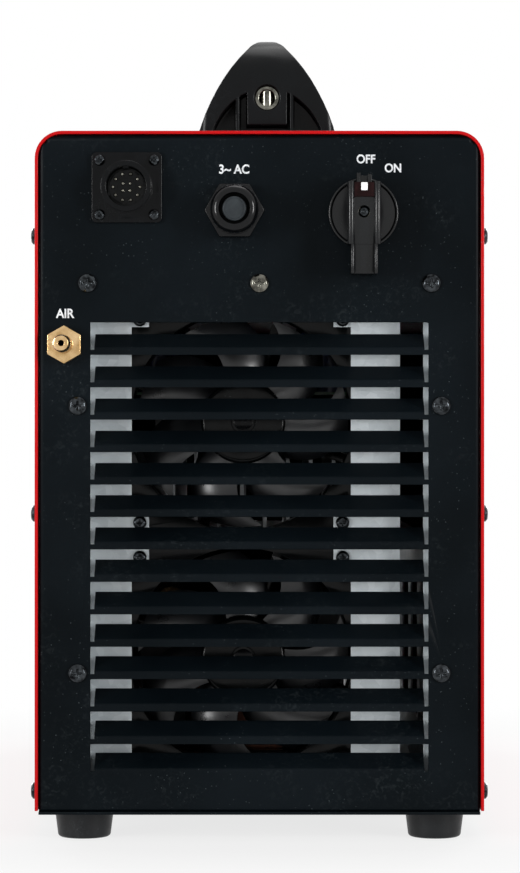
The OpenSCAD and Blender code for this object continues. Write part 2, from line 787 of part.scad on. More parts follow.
module rear_panel() {
  flap_w = louvre_w - 2 * louvre_kerf;
  socket_gap = 0.6;
  y1 = y_rear - cut;
  y2 = y_rear_in + cut;
  color([0.07, 0.09, 0.1]) {
    difference() {
      translate([0, y_rear, z_floor]) pan(panel_w, panel_h, flange_d, panel_r, bend_r, panel_t);
      for (i = [0:louvre_count - 1])
        block([-louvre_w / 2, y1, louvre_z(i) - louvre_cut_h], [louvre_w, y2 - y1, louvre_cut_h]);
      rear_screw_places() rod_y(0, 0, screw_d + clear_gap, -cut, panel_t + cut);
      rod_y(0, upper_screw_z, screw_d + clear_gap, y1, y2);
      rod_y(socket_x, socket_z, socket_shell_d + socket_gap, y1, y2);
      translate([socket_x, 0, socket_z]) four(socket_hole_pitch)
        rod_y(0, 0, socket_screw_d + clear_gap, y1, y2);
      rod_y(gland_x, gland_z, gland_thread_d + clear_gap, y1, y2);
      rod_y(switch_x, switch_z, switch_hole_d, y1, y2);
      rod_y(inlet_x, inlet_z, inlet_thread_d + clear_gap, y1, y2);
      panel_side_holes(-side_screw_y);
    }
    for (i = [0:louvre_count - 1])
      translate([-flap_w / 2, y_rear, louvre_z(i) - louvre_cut_h]) rotate([90, 0, 90])
        linear_extrude(flap_w) flap_profile();
  }
}

// Holes for the cover screws in the side flanges of a panel whose flange is at y
module panel_side_holes(y) {
  for (s = [0, 180], z = side_screw_zs)
    translate([0, y, z]) rotate(s) translate([panel_w / 2, 0, 0]) rotate([0, 90, 0])
      cylinder(d = screw_d + thread_gap, h = 6 * panel_t, center = true);
}

module panel_screws() {
  color("black") {
    rear_screw_places() screw_y(panel_head_d, head_h, screw_d, panel_screw_l);
    front_screw_places() rotate(180) screw_y(panel_head_d, head_h, screw_d, panel_screw_l);
  }
}

module earth_screw() {
  color("silver") translate([0, y_rear, upper_screw_z])
    screw_y(panel_head_d, head_h, screw_d, panel_screw_l);
}

// ---------- inner sheet parts ----------

module top_shelf() {
  side_gap = 3;
  half_w = panel_w / 2 - panel_t - side_gap;
  color("silver") difference() {
    union() {
      block([-half_w, y_rear_in, shelf_z], [2 * half_w, y_front_in - y_rear_in, inner_t]);
      for (y = [y_rear_in, y_front_in - inner_t])
        block([-half_w, y, shelf_z], [2 * half_w, inner_t, shelf_flange_h]);
    }
    for (x = [-upper_screw_x, 0, upper_screw_x])
      rod_y(x, upper_screw_z, screw_d + thread_gap, y_rear_in - cut, y_rear_in + inner_t + cut);
    for (x = [-upper_screw_x, upper_screw_x])
      rod_y(x, upper_screw_z, screw_d + thread_gap, y_front_in - inner_t - cut, y_front_in + cut);
  }
}

module mid_deck() {
  foot_w = 12;
  window_l = 70;
  window_pitch = 100;
  end_l = 30;
  low_rail = 30;
  top_rail = 25;
  leg_h = deck_top - inner_t - z_floor;
  color("silver") difference() {
    union() {
      block([-deck_x, deck_rear, deck_top - inner_t], [2 * deck_x, deck_l, inner_t]);
      for (s = [0, 1]) mirror([s, 0, 0]) {
        block([deck_x - inner_t, deck_rear, z_floor], [inner_t, deck_l, leg_h]);
        block([deck_x - foot_w, deck_rear, z_floor], [foot_w, deck_l, inner_t]);
      }
    }
    for (y = [end_l:window_pitch:deck_l - window_l - end_l])
      block([-deck_x - cut, deck_rear + y, z_floor + low_rail],
        [2 * (deck_x + cut), window_l, leg_h - low_rail - top_rail]);
  }
}

// Window in front of one fan, with its four corner tabs left
module fan_window_2d() {
  half = fan_window / 2;
  difference() {
    square(fan_window, center = true);
    for (a = [0, 1], b = [0, 1]) mirror([a, 0]) mirror([0, b])
      translate([half - fan_tab_w, half - fan_tab_h]) square([fan_tab_w + cut, fan_tab_h + cut]);
  }
}

module fan_plate() {
  h = shelf_z - z_floor;
  t = fan_plate_t;
  x1 = fan_plate_x;
  x2 = fan_brim_x;
  yb = y_rear_in + t / 2;
  yf = fan_plate_y + t / 2;
  y1 = fan_plate_y - cut;
  y2 = fan_plate_y + t + cut;
  inlet_room = 30;
  slot_top = 10;
  slot_z = z_floor + fan_floor_gap;
  color([0.62, 0.65, 0.67]) difference() {
    translate([0, 0, z_floor]) linear_extrude(h)
      strip([[-x2, yb], [-x1, yb], [-x1, yf], [x1, yf], [x1, yb], [x2, yb]], t);
    for (z = fan_zs) {
      translate([fan_x, y1, z]) stand(y2 - y1) fan_window_2d();
      translate([fan_x, 0, z]) four(fan_hole_pitch) rod_y(0, 0, fan_hole_d, y1, y2);
    }
    // cable slot beside the fans
    block([x1 - plate_slot_edge - plate_slot_w, y1, slot_z],
      [plate_slot_w, y2 - y1, shelf_z - slot_top - slot_z]);
    // the brim is cut away round the air inlet
    block_y(-x2, inlet_z, 2 * (x2 - x1), inlet_room, y_rear_in - cut, yb + t);
    for (s = [-1, 1], z = [mid_screw_z, z_low + low_screw_z])
      rod_y(s * lower_screw_x, z, screw_d + thread_gap, y_rear_in - cut, y_rear_in + t + cut);
    // room for the bend at the foot of the rear panel
    block([-x2 - cut, y_rear_in - cut, z_floor - cut],
      [2 * (x2 + cut), flange_d + cut, bend_r + seat_gap + cut]);
  }
}

// ---------- fans ----------

module fan_frame(z) {
  corner_r = 4;
  wall = 2;
  arm_w = 5;
  stator_side = 7;
  stator_l = 20;
  carrier = fan_d - fan_flange_t;
  p = fan_hole_pitch / 2;
  color([0.08, 0.08, 0.09]) translate([fan_x, fan_y, z]) along_y() difference() {
    union() {
      difference() {
        union() {
          for (y = [0, carrier]) translate([0, 0, y]) linear_extrude(fan_flange_t)
            round_rect(fan_w, fan_w, corner_r);
          cylinder(d = fan_duct_d + 2 * wall, h = fan_d);
        }
        translate([0, 0, -cut]) cylinder(d = fan_duct_d, h = fan_d + 2 * cut);
      }
      // motor carrier: round plate, four arms and the stator round its bearing
      translate([0, 0, carrier]) cylinder(d = hub_d, h = fan_flange_t);
      translate([0, 0, carrier + fan_flange_t / 2 - stator_l])
        cylinder(d = hub_d - 2 * stator_side, h = stator_l);
      for (a = [20:90:290]) rotate(a) translate([hub_d / 2 - wall, -arm_w / 2, carrier])
        cube([(fan_duct_d - hub_d + 3 * wall) / 2, arm_w, fan_flange_t]);
    }
    translate([0, 0, carrier - stator_l])
      cylinder(d = fan_shaft_d + 2 * shaft_gap, h = stator_l + fan_flange_t + cut);
    for (x = [-p, p], y = [-p, p]) translate([x, y, -cut]) cylinder(d = fan_hole_d, h = fan_d + 2 * cut);
  }
}

// One blade, standing out along its first axis, curved across its chord
module blade() {
  rotate([0, 90, 0]) linear_extrude(fan_tip_d) rotate(90 + blade_pitch) translate([-blade_camber_r, 0])
    intersection() {
      difference() {
        circle(r = blade_camber_r + blade_t / 2);
        circle(r = blade_camber_r - blade_t / 2);
      }
      translate([0, -blade_chord / 2]) square([2 * blade_camber_r, blade_chord]);
    }
}

module fan_rotor(z) {
  hub_low = 4;
  hub_h = 25;
  wall = 1.5;
  face_t = 3;
  front_gap = 2;
  back_gap = 8;
  color([0.1, 0.1, 0.11]) translate([fan_x, fan_y, z]) along_y() {
    difference() {
      translate([0, 0, hub_low]) cylinder(d = hub_d, h = hub_h);
      translate([0, 0, hub_low + face_t]) cylinder(d = hub_d - 2 * wall, h = hub_h);
    }
    translate([0, 0, hub_low + face_t / 2]) cylinder(d = fan_shaft_d, h = fan_d - hub_low - face_t);
    intersection() {
      translate([0, 0, hub_low + hub_h / 2])
        for (i = [0:blade_count - 1]) rotate(360 / blade_count * i) blade();
      difference() {
        translate([0, 0, front_gap]) cylinder(d = fan_tip_d, h = fan_d - front_gap - back_gap);
        cylinder(d = hub_d - wall, h = fan_d);
      }
    }
  }
}

module fan_frame_upper() fan_frame(fan_zs[1]);
module fan_frame_lower() fan_frame(fan_zs[0]);
module fan_rotor_upper() fan_rotor(fan_zs[1]);
module fan_rotor_lower() fan_rotor(fan_zs[0]);

module fan_screws() {
  fan_head_d = 7;
  shank_d = fan_hole_d - 1.5 * clear_gap;
  l = 10;
  color("black") for (z = fan_zs) translate([fan_x, fan_plate_y, z]) four(fan_hole_pitch)
    screw_y(fan_head_d, head_h, shank_d, l);
}

// ---------- control socket ----------

module socket_shell() {
  corner_r = 2.5;
  color([0.08, 0.08, 0.09]) translate([socket_x, y_rear, socket_z]) difference() {
    union() {
      translate([0, -socket_flange_t, 0]) stand(socket_flange_t)
        round_rect(socket_flange_w, socket_flange_w, corner_r);
      rod_y(0, 0, socket_shell_d, -socket_shell_h, socket_rear_l);
    }
    rod_y(0, 0, socket_bore_d, -socket_shell_h - cut, socket_rear_l + cut);
    four(socket_hole_pitch) rod_y(0, 0, socket_screw_d + clear_gap, -socket_flange_t - cut, cut);
  }
}

// Places of the contacts of the control socket
module contact_places() {
  for (ring = contact_rings, i = [0:ring[0] - 1])
    rotate([0, 360 / ring[0] * i + ring[2], 0]) translate([ring[1], 0, 0]) children();
}

module socket_insert() {
  set_back = 2;
  front = socket_depth - socket_shell_h;
  color([0.13, 0.13, 0.14]) translate([socket_x, y_rear, socket_z]) difference() {
    rod_y(0, 0, socket_bore_d - fit_gap, front, socket_rear_l - set_back);
    contact_places() rod_y(0, 0, contact_d + fit_gap, front - cut, socket_rear_l);
  }
}

module socket_contacts() {
  pin_out = 0.5;
  tail_out = 3;
  color("silver") translate([socket_x, y_rear, socket_z]) contact_places()
    rod_y(0, 0, contact_d, socket_depth - socket_shell_h - pin_out, socket_rear_l + tail_out);
}

module socket_screws() {
  h = 1.8;
  l = 9;
  color("black") translate([socket_x, y_rear - socket_flange_t, socket_z]) four(socket_hole_pitch)
    screw_y(socket_screw_head_d, h, socket_screw_d, l);
}

// ---------- cable gland ----------

module gland_body() {
  nut_t = 5;
  nut_af = gland_af + 2;
  inner_l = panel_t + 10;
  color([0.09, 0.09, 0.1]) translate([gland_x, y_rear, gland_z]) {
    difference() {
      union() {
        translate([0, -gland_hex_t, 0]) stand(gland_hex_t) hexagon(gland_af);
        rod_y(0, 0, gland_thread_d, -cut, inner_l);
        rod_y(0, 0, gland_neck_d, -gland_hex_t - gland_neck_l, 0);
      }
      rod_y(0, 0, gland_mouth_d, -gland_hex_t - gland_neck_l - cut, inner_l + cut);
    }
    difference() {
      translate([0, panel_t, 0]) stand(nut_t) hexagon(nut_af);
      rod_y(0, 0, gland_thread_d + fit_gap, 0, panel_t + nut_t + cut);
    }
  }
}

module gland_dome() {
  low = gland_hex_t;
  top = gland_hex_t + gland_dome_l;
  r = gland_dome_d / 2;
  rim = [4, 5];
  color([0.09, 0.09, 0.1]) translate([gland_x, y_rear, gland_z]) rotate([90, 0, 0]) difference() {
    rotate_extrude() polygon(concat(
      [[0, low + fit_gap], [r, low + fit_gap], [r, top - rim.y]],
      [for (i = [1:6]) let (a = 90 * i / 6) [r - rim.x + rim.x * cos(a), top - rim.y + rim.y * sin(a)]],
      [[0, top]]));
    translate([0, 0, low]) cylinder(d = gland_neck_d + 2 * fit_gap, h = gland_neck_l + fit_gap);
    translate([0, 0, low]) cylinder(d = gland_mouth_d, h = gland_dome_l + cut);
  }
}

module gland_plug() {
  face = y_rear - gland_hex_t - gland_dome_l + 2.5;
  dish_d = 12.5;
  dish = 1.5;
  color([0.3, 0.31, 0.32]) difference() {
    rod_y(gland_x, gland_z, gland_mouth_d - fit_gap, face, y_rear - gland_hex_t);
    rod_y(gland_x, gland_z, dish_d, face - cut, face + dish);
  }
}

// ---------- power switch ----------

module switch_body() {
  plate_w = 52;
  plate_t = 3;
  case_w = 46;
  case_l = 46;
  corner_r = 3;
  lug = [6, 20, 9];
  lug_y = 16;
  lug_pitch = 14;
  bore_l = 30;
  color([0.16, 0.16, 0.17]) translate([switch_x, y_rear_in, switch_z]) difference() {
    union() {
      stand(plate_t) round_rect(plate_w, plate_w, corner_r);
      translate([0, plate_t, 0]) stand(case_l) round_rect(case_w, case_w, corner_r);
      for (i = [-1:1], s = [-1, 1])
        block_y(s * ((case_w + lug.x) / 2 - cut), i * lug_pitch, lug.x, lug.z, lug_y, lug_y + lug.y);
    }
    rod_y(0, 0, switch_shaft_d + 2 * shaft_gap, -cut, bore_l);
  }
}

module switch_shaft() {
  inner_l = 28;
  tip = y_rear - knob_gap - knob_h + knob_shaft_end;
  color("silver") rod_y(switch_x, switch_z, switch_shaft_d, tip, y_rear_in + inner_l);
}

module switch_knob() {
  back = -knob_gap;
  face = back - knob_h;
  step_z = 16.6;
  cap_w = 7.6;
  cap_h = 8.8;
  cap_set = 3;
  channel_top = 7.5;
  seat_d = knob_screw_head_d + 0.6;
  pilot_l = 9;
  color([0.12, 0.12, 0.13]) translate([switch_x, y_rear, switch_z]) difference() {
    union() {
      rod_y(0, 0, knob_disc_d, back - knob_disc_t, back);
      block([-knob_bar_w / 2, face, -step_z], [knob_bar_w, knob_h - cut, knob_bar_up + step_z]);
      block([-knob_tail_w / 2, face, -knob_bar_down],
        [knob_tail_w, knob_h - 3 * cut, knob_bar_down - step_z + cut]);
      block([-cap_w / 2, face + cap_set, knob_bar_up - cap_h / 2],
        [cap_w, knob_h - knob_disc_t - cap_set + cut, cap_h]);
    }
    // channel along the bar, open at its foot
    block([-knob_channel_w / 2, face - cut, -knob_bar_down - cut],
      [knob_channel_w, knob_channel_d + cut, knob_bar_down + channel_top + cut]);
    // seat of the white mark
    block_y(0, mark_z, mark_w + mark_play, mark_h + mark_play, face - cut, face + mark_deep);
    // recess of the screw and bore of the shaft
    rod_y(0, 0, seat_d, face, face + knob_seat);
    rod_y(0, 0, knob_screw_d + mark_play, face, face + pilot_l);
    rod_y(0, 0, switch_shaft_d + fit_gap, face + knob_shaft_end, back + cut);
  }
}

module switch_mark() {
  face = y_rear - knob_gap - knob_h;
  proud = 0.2;
  color("white") block_y(switch_x, switch_z + mark_z, mark_w, mark_h, face - proud, face + mark_deep);
}

module switch_knob_screw() {
  h = 1.6;
  color("silver") translate([switch_x, y_rear - knob_gap - knob_h + knob_seat, switch_z])
    screw_y(knob_screw_head_d, h, knob_screw_d, knob_shaft_end - knob_seat);
}

// ---------- air path ----------

module air_inlet() {
  nut_t = 4;
  nut_af = inlet_af - 1;
  thread_l = panel_t + 7;
  spigot_l = panel_t + 18;
  tip = -inlet_hex_t - tail_l;
  core_d = tail_d - 2 * tail_groove;
  color("goldenrod") translate([inlet_x, y_rear, inlet_z]) {
    difference() {
      union() {
        rotate([0, 90, 0]) translate([0, -inlet_hex_t, 0]) stand(inlet_hex_t) hexagon(inlet_af);
        rod_y(0, 0, tail_d, tip + tail_barb_l, 0);
        rod_y(0, 0, core_d, tip, 0);
        for (i = [0, 1]) translate([0, tip + i * tail_barb_l / 2, 0]) along_y()
          cylinder(d1 = core_d, d2 = tail_d, h = tail_barb_l / 3);
        rod_y(0, 0, inlet_thread_d, -cut, thread_l);
        rod_y(0, 0, spigot_d, 0, spigot_l);
      }
      rod_y(0, 0, inlet_bore_d, tip - cut, spigot_l + cut);
    }
    difference() {
      rotate([0, 90, 0]) translate([0, panel_t, 0]) stand(nut_t) hexagon(nut_af);
      rod_y(0, 0, inlet_thread_d + fit_gap, 0, panel_t + nut_t + cut);
    }
  }
}

module valve_body() {
  hanger = [12, 16];
  hanger_y = valve_y + 8;
  y1 = valve_y - hose_stub;
  y2 = valve_y + valve_l + hose_stub;
  color("goldenrod") difference() {
    union() {
      block_y(inlet_x, inlet_z, valve_w, valve_h, valve_y, valve_y + valve_l);
      block([inlet_x - hanger.x / 2, hanger_y, inlet_z], [hanger.x, hanger.y, shelf_z - inlet_z]);
      rod_y(inlet_x, inlet_z, spigot_d, y1, y2);
    }
    rod_y(inlet_x, inlet_z, inlet_bore_d, y1 - cut, y2 + cut);
  }
}

module valve_coil() {
  h = 30;
  end_gap = 3;
  color("black") block([inlet_x - valve_w / 2, valve_y + end_gap, inlet_z - valve_h / 2 - h],
    [valve_w, valve_l - 2 * end_gap, h]);
}

module air_hose_rear() {
  color("royalblue") difference() {
    rod_y(inlet_x, inlet_z, hose_d, hose_rear_y, valve_y);
    rod_y(inlet_x, inlet_z, hose_bore_d, hose_rear_y - cut, valve_y + cut);
  }
}

// Ring section of a hose
module hose_ring() {
  difference() {
    circle(d = hose_d);
    circle(d = hose_bore_d);
  }
}

// Quarter bend of the hose, in the XY plane, from the X axis round to the Y axis
module hose_bend() rotate_extrude(angle = 90) translate([hose_bend_r, 0]) hose_ring();

module air_hose_front() {
  r = hose_bend_r;
  y1 = valve_y + valve_l;
  color("royalblue") {
    // along the unit
    translate([inlet_x, y1, inlet_z]) along_y() linear_extrude(hose_turn_y - r - y1) hose_ring();
    // down behind the front panel
    translate([inlet_x, hose_turn_y - r, inlet_z - r]) rotate([0, -90, 0]) hose_bend();
    translate([inlet_x, hose_turn_y, outlet_zz + r]) linear_extrude(inlet_z - outlet_zz - 2 * r) hose_ring();
    // across to the connector
    translate([inlet_x + r, hose_turn_y, outlet_zz + r]) rotate([90, 0, 0]) rotate(180) hose_bend();
    translate([inlet_x + r, hose_turn_y, outlet_zz]) rotate([0, 90, 0])
      linear_extrude(-outlet_x - inlet_x - 2 * r) hose_ring();
    translate([-outlet_x - r, hose_turn_y + r, outlet_zz]) rotate(-90) hose_bend();
    translate([-outlet_x, torch_tail_y, outlet_zz]) along_y() linear_extrude(hose_stub) hose_ring();
  }
}

// ---------- power parts ----------

module power_heatsink() {
  pitch = (sink_w - fin_t) / (fin_count - 1);
  color([0.75, 0.76, 0.78]) translate([sink_x - sink_w / 2, sink_y, deck_top]) {
    block([0, 0, fin_h], [sink_w, sink_l, sink_base_t]);
    for (i = [0:fin_count - 1]) block([i * pitch, 0, 0], [fin_t, sink_l, fin_h + bite]);
  }
}

module power_modules() {
  stud_d = 10;
  stud_pitch = 30;
  last = 3;
  pitch = (sink_l - 2 * module_end - module_l) / last;
  rectifier_top = z_floor + rectifier_fin_h + sink_base_t;
  color([0.2, 0.2, 0.21]) {
    for (i = [0:last]) translate([sink_x, sink_y + module_end + i * pitch, sink_top]) {
      block([-module_w / 2, 0, 0], [module_w, module_l, module_h]);
      for (k = [-1:1]) translate([k * stud_pitch, module_l / 2, module_h])
        cylinder(d = stud_d, h = terminal_h);
    }
    for (y = [rectifier_end, rectifier_l - rectifier_end - module_l])
      block([sink_x - module_w / 2, rectifier_y + y, rectifier_top], [module_w, module_l, module_h]);
  }
}

module power_board() {
  w = sink_w - 6;
  color("darkgreen") block([sink_x - w / 2, sink_y, board_z], [w, sink_l, board_t]);
}

module bus_capacitors() {
  end = 22;
  last = 5;
  pitch = (sink_l - 2 * end) / last;
  x = sink_w * 0.32;
  color([0.12, 0.16, 0.3]) for (i = [0:last], s = [-1, 1])
    translate([sink_x + s * x, sink_y + end + i * pitch, board_z + board_t]) cylinder(d = cap_d, h = cap_h);
}

module transformer_core() {
  w = 3 * core_leg + 2 * core_window;
  h = core_window_h + 2 * core_leg;
  color([0.22, 0.22, 0.23]) translate([fan_x - w / 2, core_y, z_floor]) difference() {
    cube([w, core_l, h]);
    for (x = [core_leg, 2 * core_leg + core_window])
      block([x, -cut, core_leg], [core_window, core_l + 2 * cut, core_window_h]);
  }
}

module transformer_winding() {
  gap = 0.3;
  side_gap = 2;
  corner_r = 8;
  h = core_window_h - 2 * gap;
  build = 2 * (core_window - side_gap);
  color([0.75, 0.45, 0.2]) translate([fan_x, core_y + core_l / 2, z_floor + core_leg + gap]) difference() {
    linear_extrude(h) round_rect(core_leg + build, core_l + build, corner_r);
    translate([0, 0, -cut]) linear_extrude(h + 2 * cut)
      square([core_leg + 2 * gap, core_l + 2 * gap], center = true);
  }
}

module output_reactor() {
  h = 60;
  bore_d = 38;
  floor_t = 8;
  color([0.7, 0.42, 0.2]) translate([fan_x, reactor_y, z_floor]) difference() {
    cylinder(d = reactor_d, h = h);
    translate([0, 0, floor_t]) cylinder(d = bore_d, h = h);
  }
}

module rectifier_heatsink() {
  pitch = (rectifier_w - fin_t) / (rectifier_fins - 1);
  color([0.75, 0.76, 0.78]) translate([fan_x - rectifier_w / 2, rectifier_y, z_floor]) {
    block([0, 0, rectifier_fin_h], [rectifier_w, rectifier_l, sink_base_t]);
    for (i = [0:rectifier_fins - 1]) block([i * pitch, 0, 0], [fin_t, rectifier_l, rectifier_fin_h + bite]);
  }
}

// ---------- control parts ----------

module control_board() {
  color("darkgreen") translate([0, control_y, shelf_z + inner_t + standoff_h])
    block([-control_w / 2, 0, 0], [control_w, control_l, board_t]);
}

module control_parts() {
  z = shelf_z + inner_t;
  top = z + standoff_h + board_t;
  post_d = 7;
  post_x = control_w / 2 - 8;
  post_y = 10;
  relay = [18, 22, 16];
  relay_y = 24;
  relay_pitch = 24;
  supply = [44, 48, 34];
  supply_y = 60;
  chip = [22, 22, 2];
  plug = [24, 10, 11];
  side = 7;
  plug_pitch = (control_w - 2 * side - plug.x) / 4;
  color([0.15, 0.15, 0.16]) translate([0, control_y, 0]) {
    for (x = [-post_x, post_x], y = [post_y, control_l - post_y])
      translate([x, y, z]) cylinder(d = post_d, h = standoff_h);
    // relays, auxiliary supply, processor and plug row
    for (i = [0:3]) block([side - control_w / 2 + relay_pitch * i, relay_y, top], relay);
    block([control_w / 2 - side - supply.x, supply_y, top], supply);
    block([-chip.x / 2, control_l / 2, top], chip);
    for (i = [0:4]) block([side - control_w / 2 + plug_pitch * i, control_l - 2 * plug.y, top], plug);
  }
}

// ---------- front panel ----------

module front_screw_places() {
  for (x = [-upper_screw_x, upper_screw_x]) translate([x, y_front, upper_screw_z]) children();
}

// Rows of air slots in the front panel, the first row at z
module front_slots(z, rows) {
  w = body_w - 80;
  h = 5;
  r = 2.4;
  pitch = 13;
  for (i = [0:rows - 1])
    translate([0, y_front_in - cut, z + pitch * i]) stand(panel_t + 2 * cut) round_rect(w, h, r);
}

module front_panel() {
  y1 = y_front_in - cut;
  y2 = y_front + cut;
  slots_low = 26;
  slots_high = 120;
  color([0.07, 0.09, 0.1]) difference() {
    translate([0, y_front, z_floor]) mirror([0, 1, 0])
      pan(panel_w, panel_h, flange_d, panel_r, bend_r, panel_t);
    block_y(0, display_z, display_w - 2 * display_lip, display_h - 2 * display_lip, y1, y2);
    for (i = [-1:1]) rod_y(lamp_x, display_z + i * lamp_pitch, lamp_d + 2 * fit_gap, y1, y2);
    rod_y(0, dial_z, dial_bush_d + clear_gap, y1, y2);
    block_y(pair_x, dial_z, rocker_w + frame_rim + clear_gap, rocker_h + frame_rim + clear_gap, y1, y2);
    rod_y(-pair_x, dial_z, button_d + frame_rim + clear_gap, y1, y2);
    for (s = [-1, 1]) rod_y(s * outlet_x, outlet_zz, outlet_neck_d + clear_gap, y1, y2);
    front_screw_places() rod_y(0, 0, screw_d + clear_gap, -panel_t - cut, cut);
    front_slots(z_low + slots_high, 3);
    front_slots(z_low + slots_low, 2);
    panel_side_holes(side_screw_y);
  }
}

module display_window() {
  t = 3;
  back = 7;
  corner_r = 2.5;
  rim = 2 * (display_lip + display_play);
  color([0.25, 0.02, 0.03]) {
    translate([0, y_front, display_z]) stand(t) round_rect(display_w, display_h, corner_r);
    block_y(0, display_z, display_w - rim, display_h - rim, y_front - back, y_front + bite);
  }
}

module front_board() {
  post_d = 6;
  post_l = 8;
  side = 12;
  top_gap = 16;
  shelf_room = 4;
  inset = 5;
  x1 = lamp_x - side;
  x2 = -lamp_x;
  z1 = upper_screw_z + shelf_flange_h / 2 + shelf_room;
  z2 = z_top - top_gap;
  y2 = y_front_in - post_l;
  color("darkgreen") {
    block([x1, y2 - board_t, z1], [x2 - x1, board_t, z2 - z1]);
    for (x = [x1 + inset, x2 - inset], z = [z1 + inset, z2 - inset])
      rod_y(x, z, post_d, y2 - bite, y_front_in);
  }
}

module indicator_lamps() {
  back = 8;
  rim = 2;
  rim_t = 1.4;
  dome_h = 2;
  color([0.2, 0.7, 0.25]) for (i = [-1:1]) translate([lamp_x, 0, display_z + i * lamp_pitch]) {
    rod_y(0, 0, lamp_d, y_front_in - back, y_front + rim_t);
    rod_y(0, 0, lamp_d + rim, y_front, y_front + rim_t);
    translate([0, y_front + rim_t, 0]) along_y() cylinder(d1 = lamp_d, d2 = lamp_d / 2, h = dome_h);
  }
}

module current_knob() {
  skirt_h = 4;
  waist = 3;
  taper = 1.5;
  groove_d = 2.6;
  grooves = 18;
  line = [1.2, 0.8];
  top_d = dial_d - 2 * waist;
  color([0.12, 0.12, 0.13]) translate([0, y_front + dial_gap, dial_z]) difference() {
    union() {
      rod_y(0, 0, dial_d, 0, skirt_h);
      translate([0, skirt_h - bite, 0]) along_y()
        cylinder(d1 = top_d, d2 = top_d - 2 * taper, h = dial_h - skirt_h);
    }
    for (i = [0:grooves - 1]) rotate([0, 360 / grooves * i, 0])
      rod_y(dial_d / 2 - taper, 0, groove_d, skirt_h, dial_h + cut);
    block([-line.x / 2, dial_h - line.y, dial_d * 0.15], [line.x, 2 * cut, dial_d / 2]);
    rod_y(0, 0, dial_shaft_d + fit_gap, -cut, dial_shaft_l + cut);
  }
}

module dial_shaft() {
  inner_l = 6;
  color("silver") rod_y(0, dial_z, dial_shaft_d, y_front_in - inner_l, y_front + dial_gap + dial_shaft_l);
}

module current_pot() {
  case_d = 24;
  case_l = 14;
  bore_l = 8;
  color([0.35, 0.36, 0.38]) difference() {
    union() {
      rod_y(0, dial_z, case_d, y_front_in - case_l, y_front_in);
      rod_y(0, dial_z, dial_bush_d, y_front_in - cut, y_front + dial_gap / 2);
    }
    rod_y(0, dial_z, dial_shaft_d + 2 * shaft_gap, y_front_in - bore_l, y_front + cut);
  }
}

module rocker_frame() {
  brim = 8;
  brim_t = 2;
  back = 20;
  well = 14;
  pin_l = rocker_w + 2;
  color([0.1, 0.1, 0.11]) translate([pair_x, y_front, dial_z]) difference() {
    union() {
      stand(brim_t) round_rect(rocker_w + brim, rocker_h + brim, brim_t);
      translate([0, -back, 0]) stand(back + bite)
        round_rect(rocker_w + frame_rim, rocker_h + frame_rim, 1);
    }
    translate([0, -well, 0]) stand(well + brim_t + cut)
      square([rocker_w, rocker_h] + 2 * frame_play * [1, 1], center = true);
  }
  color("silver") translate([pair_x - pin_l / 2, y_front + rocker_pivot_y, dial_z])
    rotate([0, 90, 0]) cylinder(d = rocker_pin_d, h = pin_l);
}

module mode_rocker() {
  half = rocker_h / 2 - 0.9;
  back_half = rocker_h / 2 - 1.5;
  dip = 4.4;
  crown = 6.4;
  edge = 5.4;
  back = -2;
  keel = [-5, 2];
  right = [[edge, half], [back, back_half], keel];
  color([0.16, 0.16, 0.17]) translate([pair_x - rocker_w / 2, y_front + rocker_pivot_y, dial_z])
    rotate([-rocker_tilt, 0, 0]) rotate([90, 0, 90]) linear_extrude(rocker_w) difference() {
      polygon(concat(
        [[dip, 0], [crown, half - 0.4]], right,
        [for (i = [2:-1:0]) [right[i].x, -right[i].y]], [[crown, 0.4 - half]]));
      circle(d = rocker_pin_d + 2 * shaft_gap);
    }
}

module button_frame() {
  brim = 8;
  brim_t = 2;
  back = 22;
  color([0.1, 0.1, 0.11]) translate([-pair_x, y_front, dial_z]) difference() {
    union() {
      rod_y(0, 0, button_d + brim, 0, brim_t);
      rod_y(0, 0, button_d + frame_rim, -back, bite);
    }
    rod_y(0, 0, button_d + 2 * button_play, -button_well, brim_t + cut);
  }
}

module test_button() {
  color("darkred") translate([-pair_x, y_front, dial_z])
    rod_y(0, 0, button_d, button_travel + frame_play - button_well, button_travel + button_out);
}

module outlet_flanges() {
  corner_r = 6;
  back = panel_t + 8;
  color([0.1, 0.1, 0.11]) for (s = [-1, 1]) translate([s * outlet_x, y_front, outlet_zz]) difference() {
    union() {
      stand(outlet_flange_t) round_rect(outlet_flange_w, outlet_flange_w, corner_r);
      rod_y(0, 0, outlet_neck_d, -back, bite);
    }
    rod_y(0, 0, outlet_body_d + outlet_play, -back - cut, outlet_flange_t + cut);
  }
}

module torch_outlet() {
  hex_af = 24;
  back = -panel_t - 10;
  face = outlet_flange_t;
  tip = face + torch_hex_t + torch_thread_l;
  tail = torch_tail_y - y_front;
  color("goldenrod") translate([-outlet_x, y_front, outlet_zz]) difference() {
    union() {
      translate([0, face, 0]) stand(torch_hex_t) hexagon(hex_af);
      rod_y(0, 0, outlet_body_d, back, face + cut);
      rod_y(0, 0, torch_thread_d, face, tip);
      rod_y(0, 0, spigot_d, tail, back + cut);
    }
    rod_y(0, 0, torch_bore_d, face, tip + cut);
    rod_y(0, 0, inlet_bore_d, tail - cut, face + cut);
  }
}

module earth_outlet() {
  collar_d = 30;
  collar_t = 5;
  back = -panel_t - 24;
  end_t = 6;
  face = outlet_flange_t;
  color("goldenrod") translate([outlet_x, y_front, outlet_zz]) difference() {
    union() {
      rod_y(0, 0, collar_d, face, face + collar_t);
      rod_y(0, 0, outlet_body_d, back, face + cut);
    }
    rod_y(0, 0, earth_bore_d, back + end_t, face + collar_t + cut);
  }
}

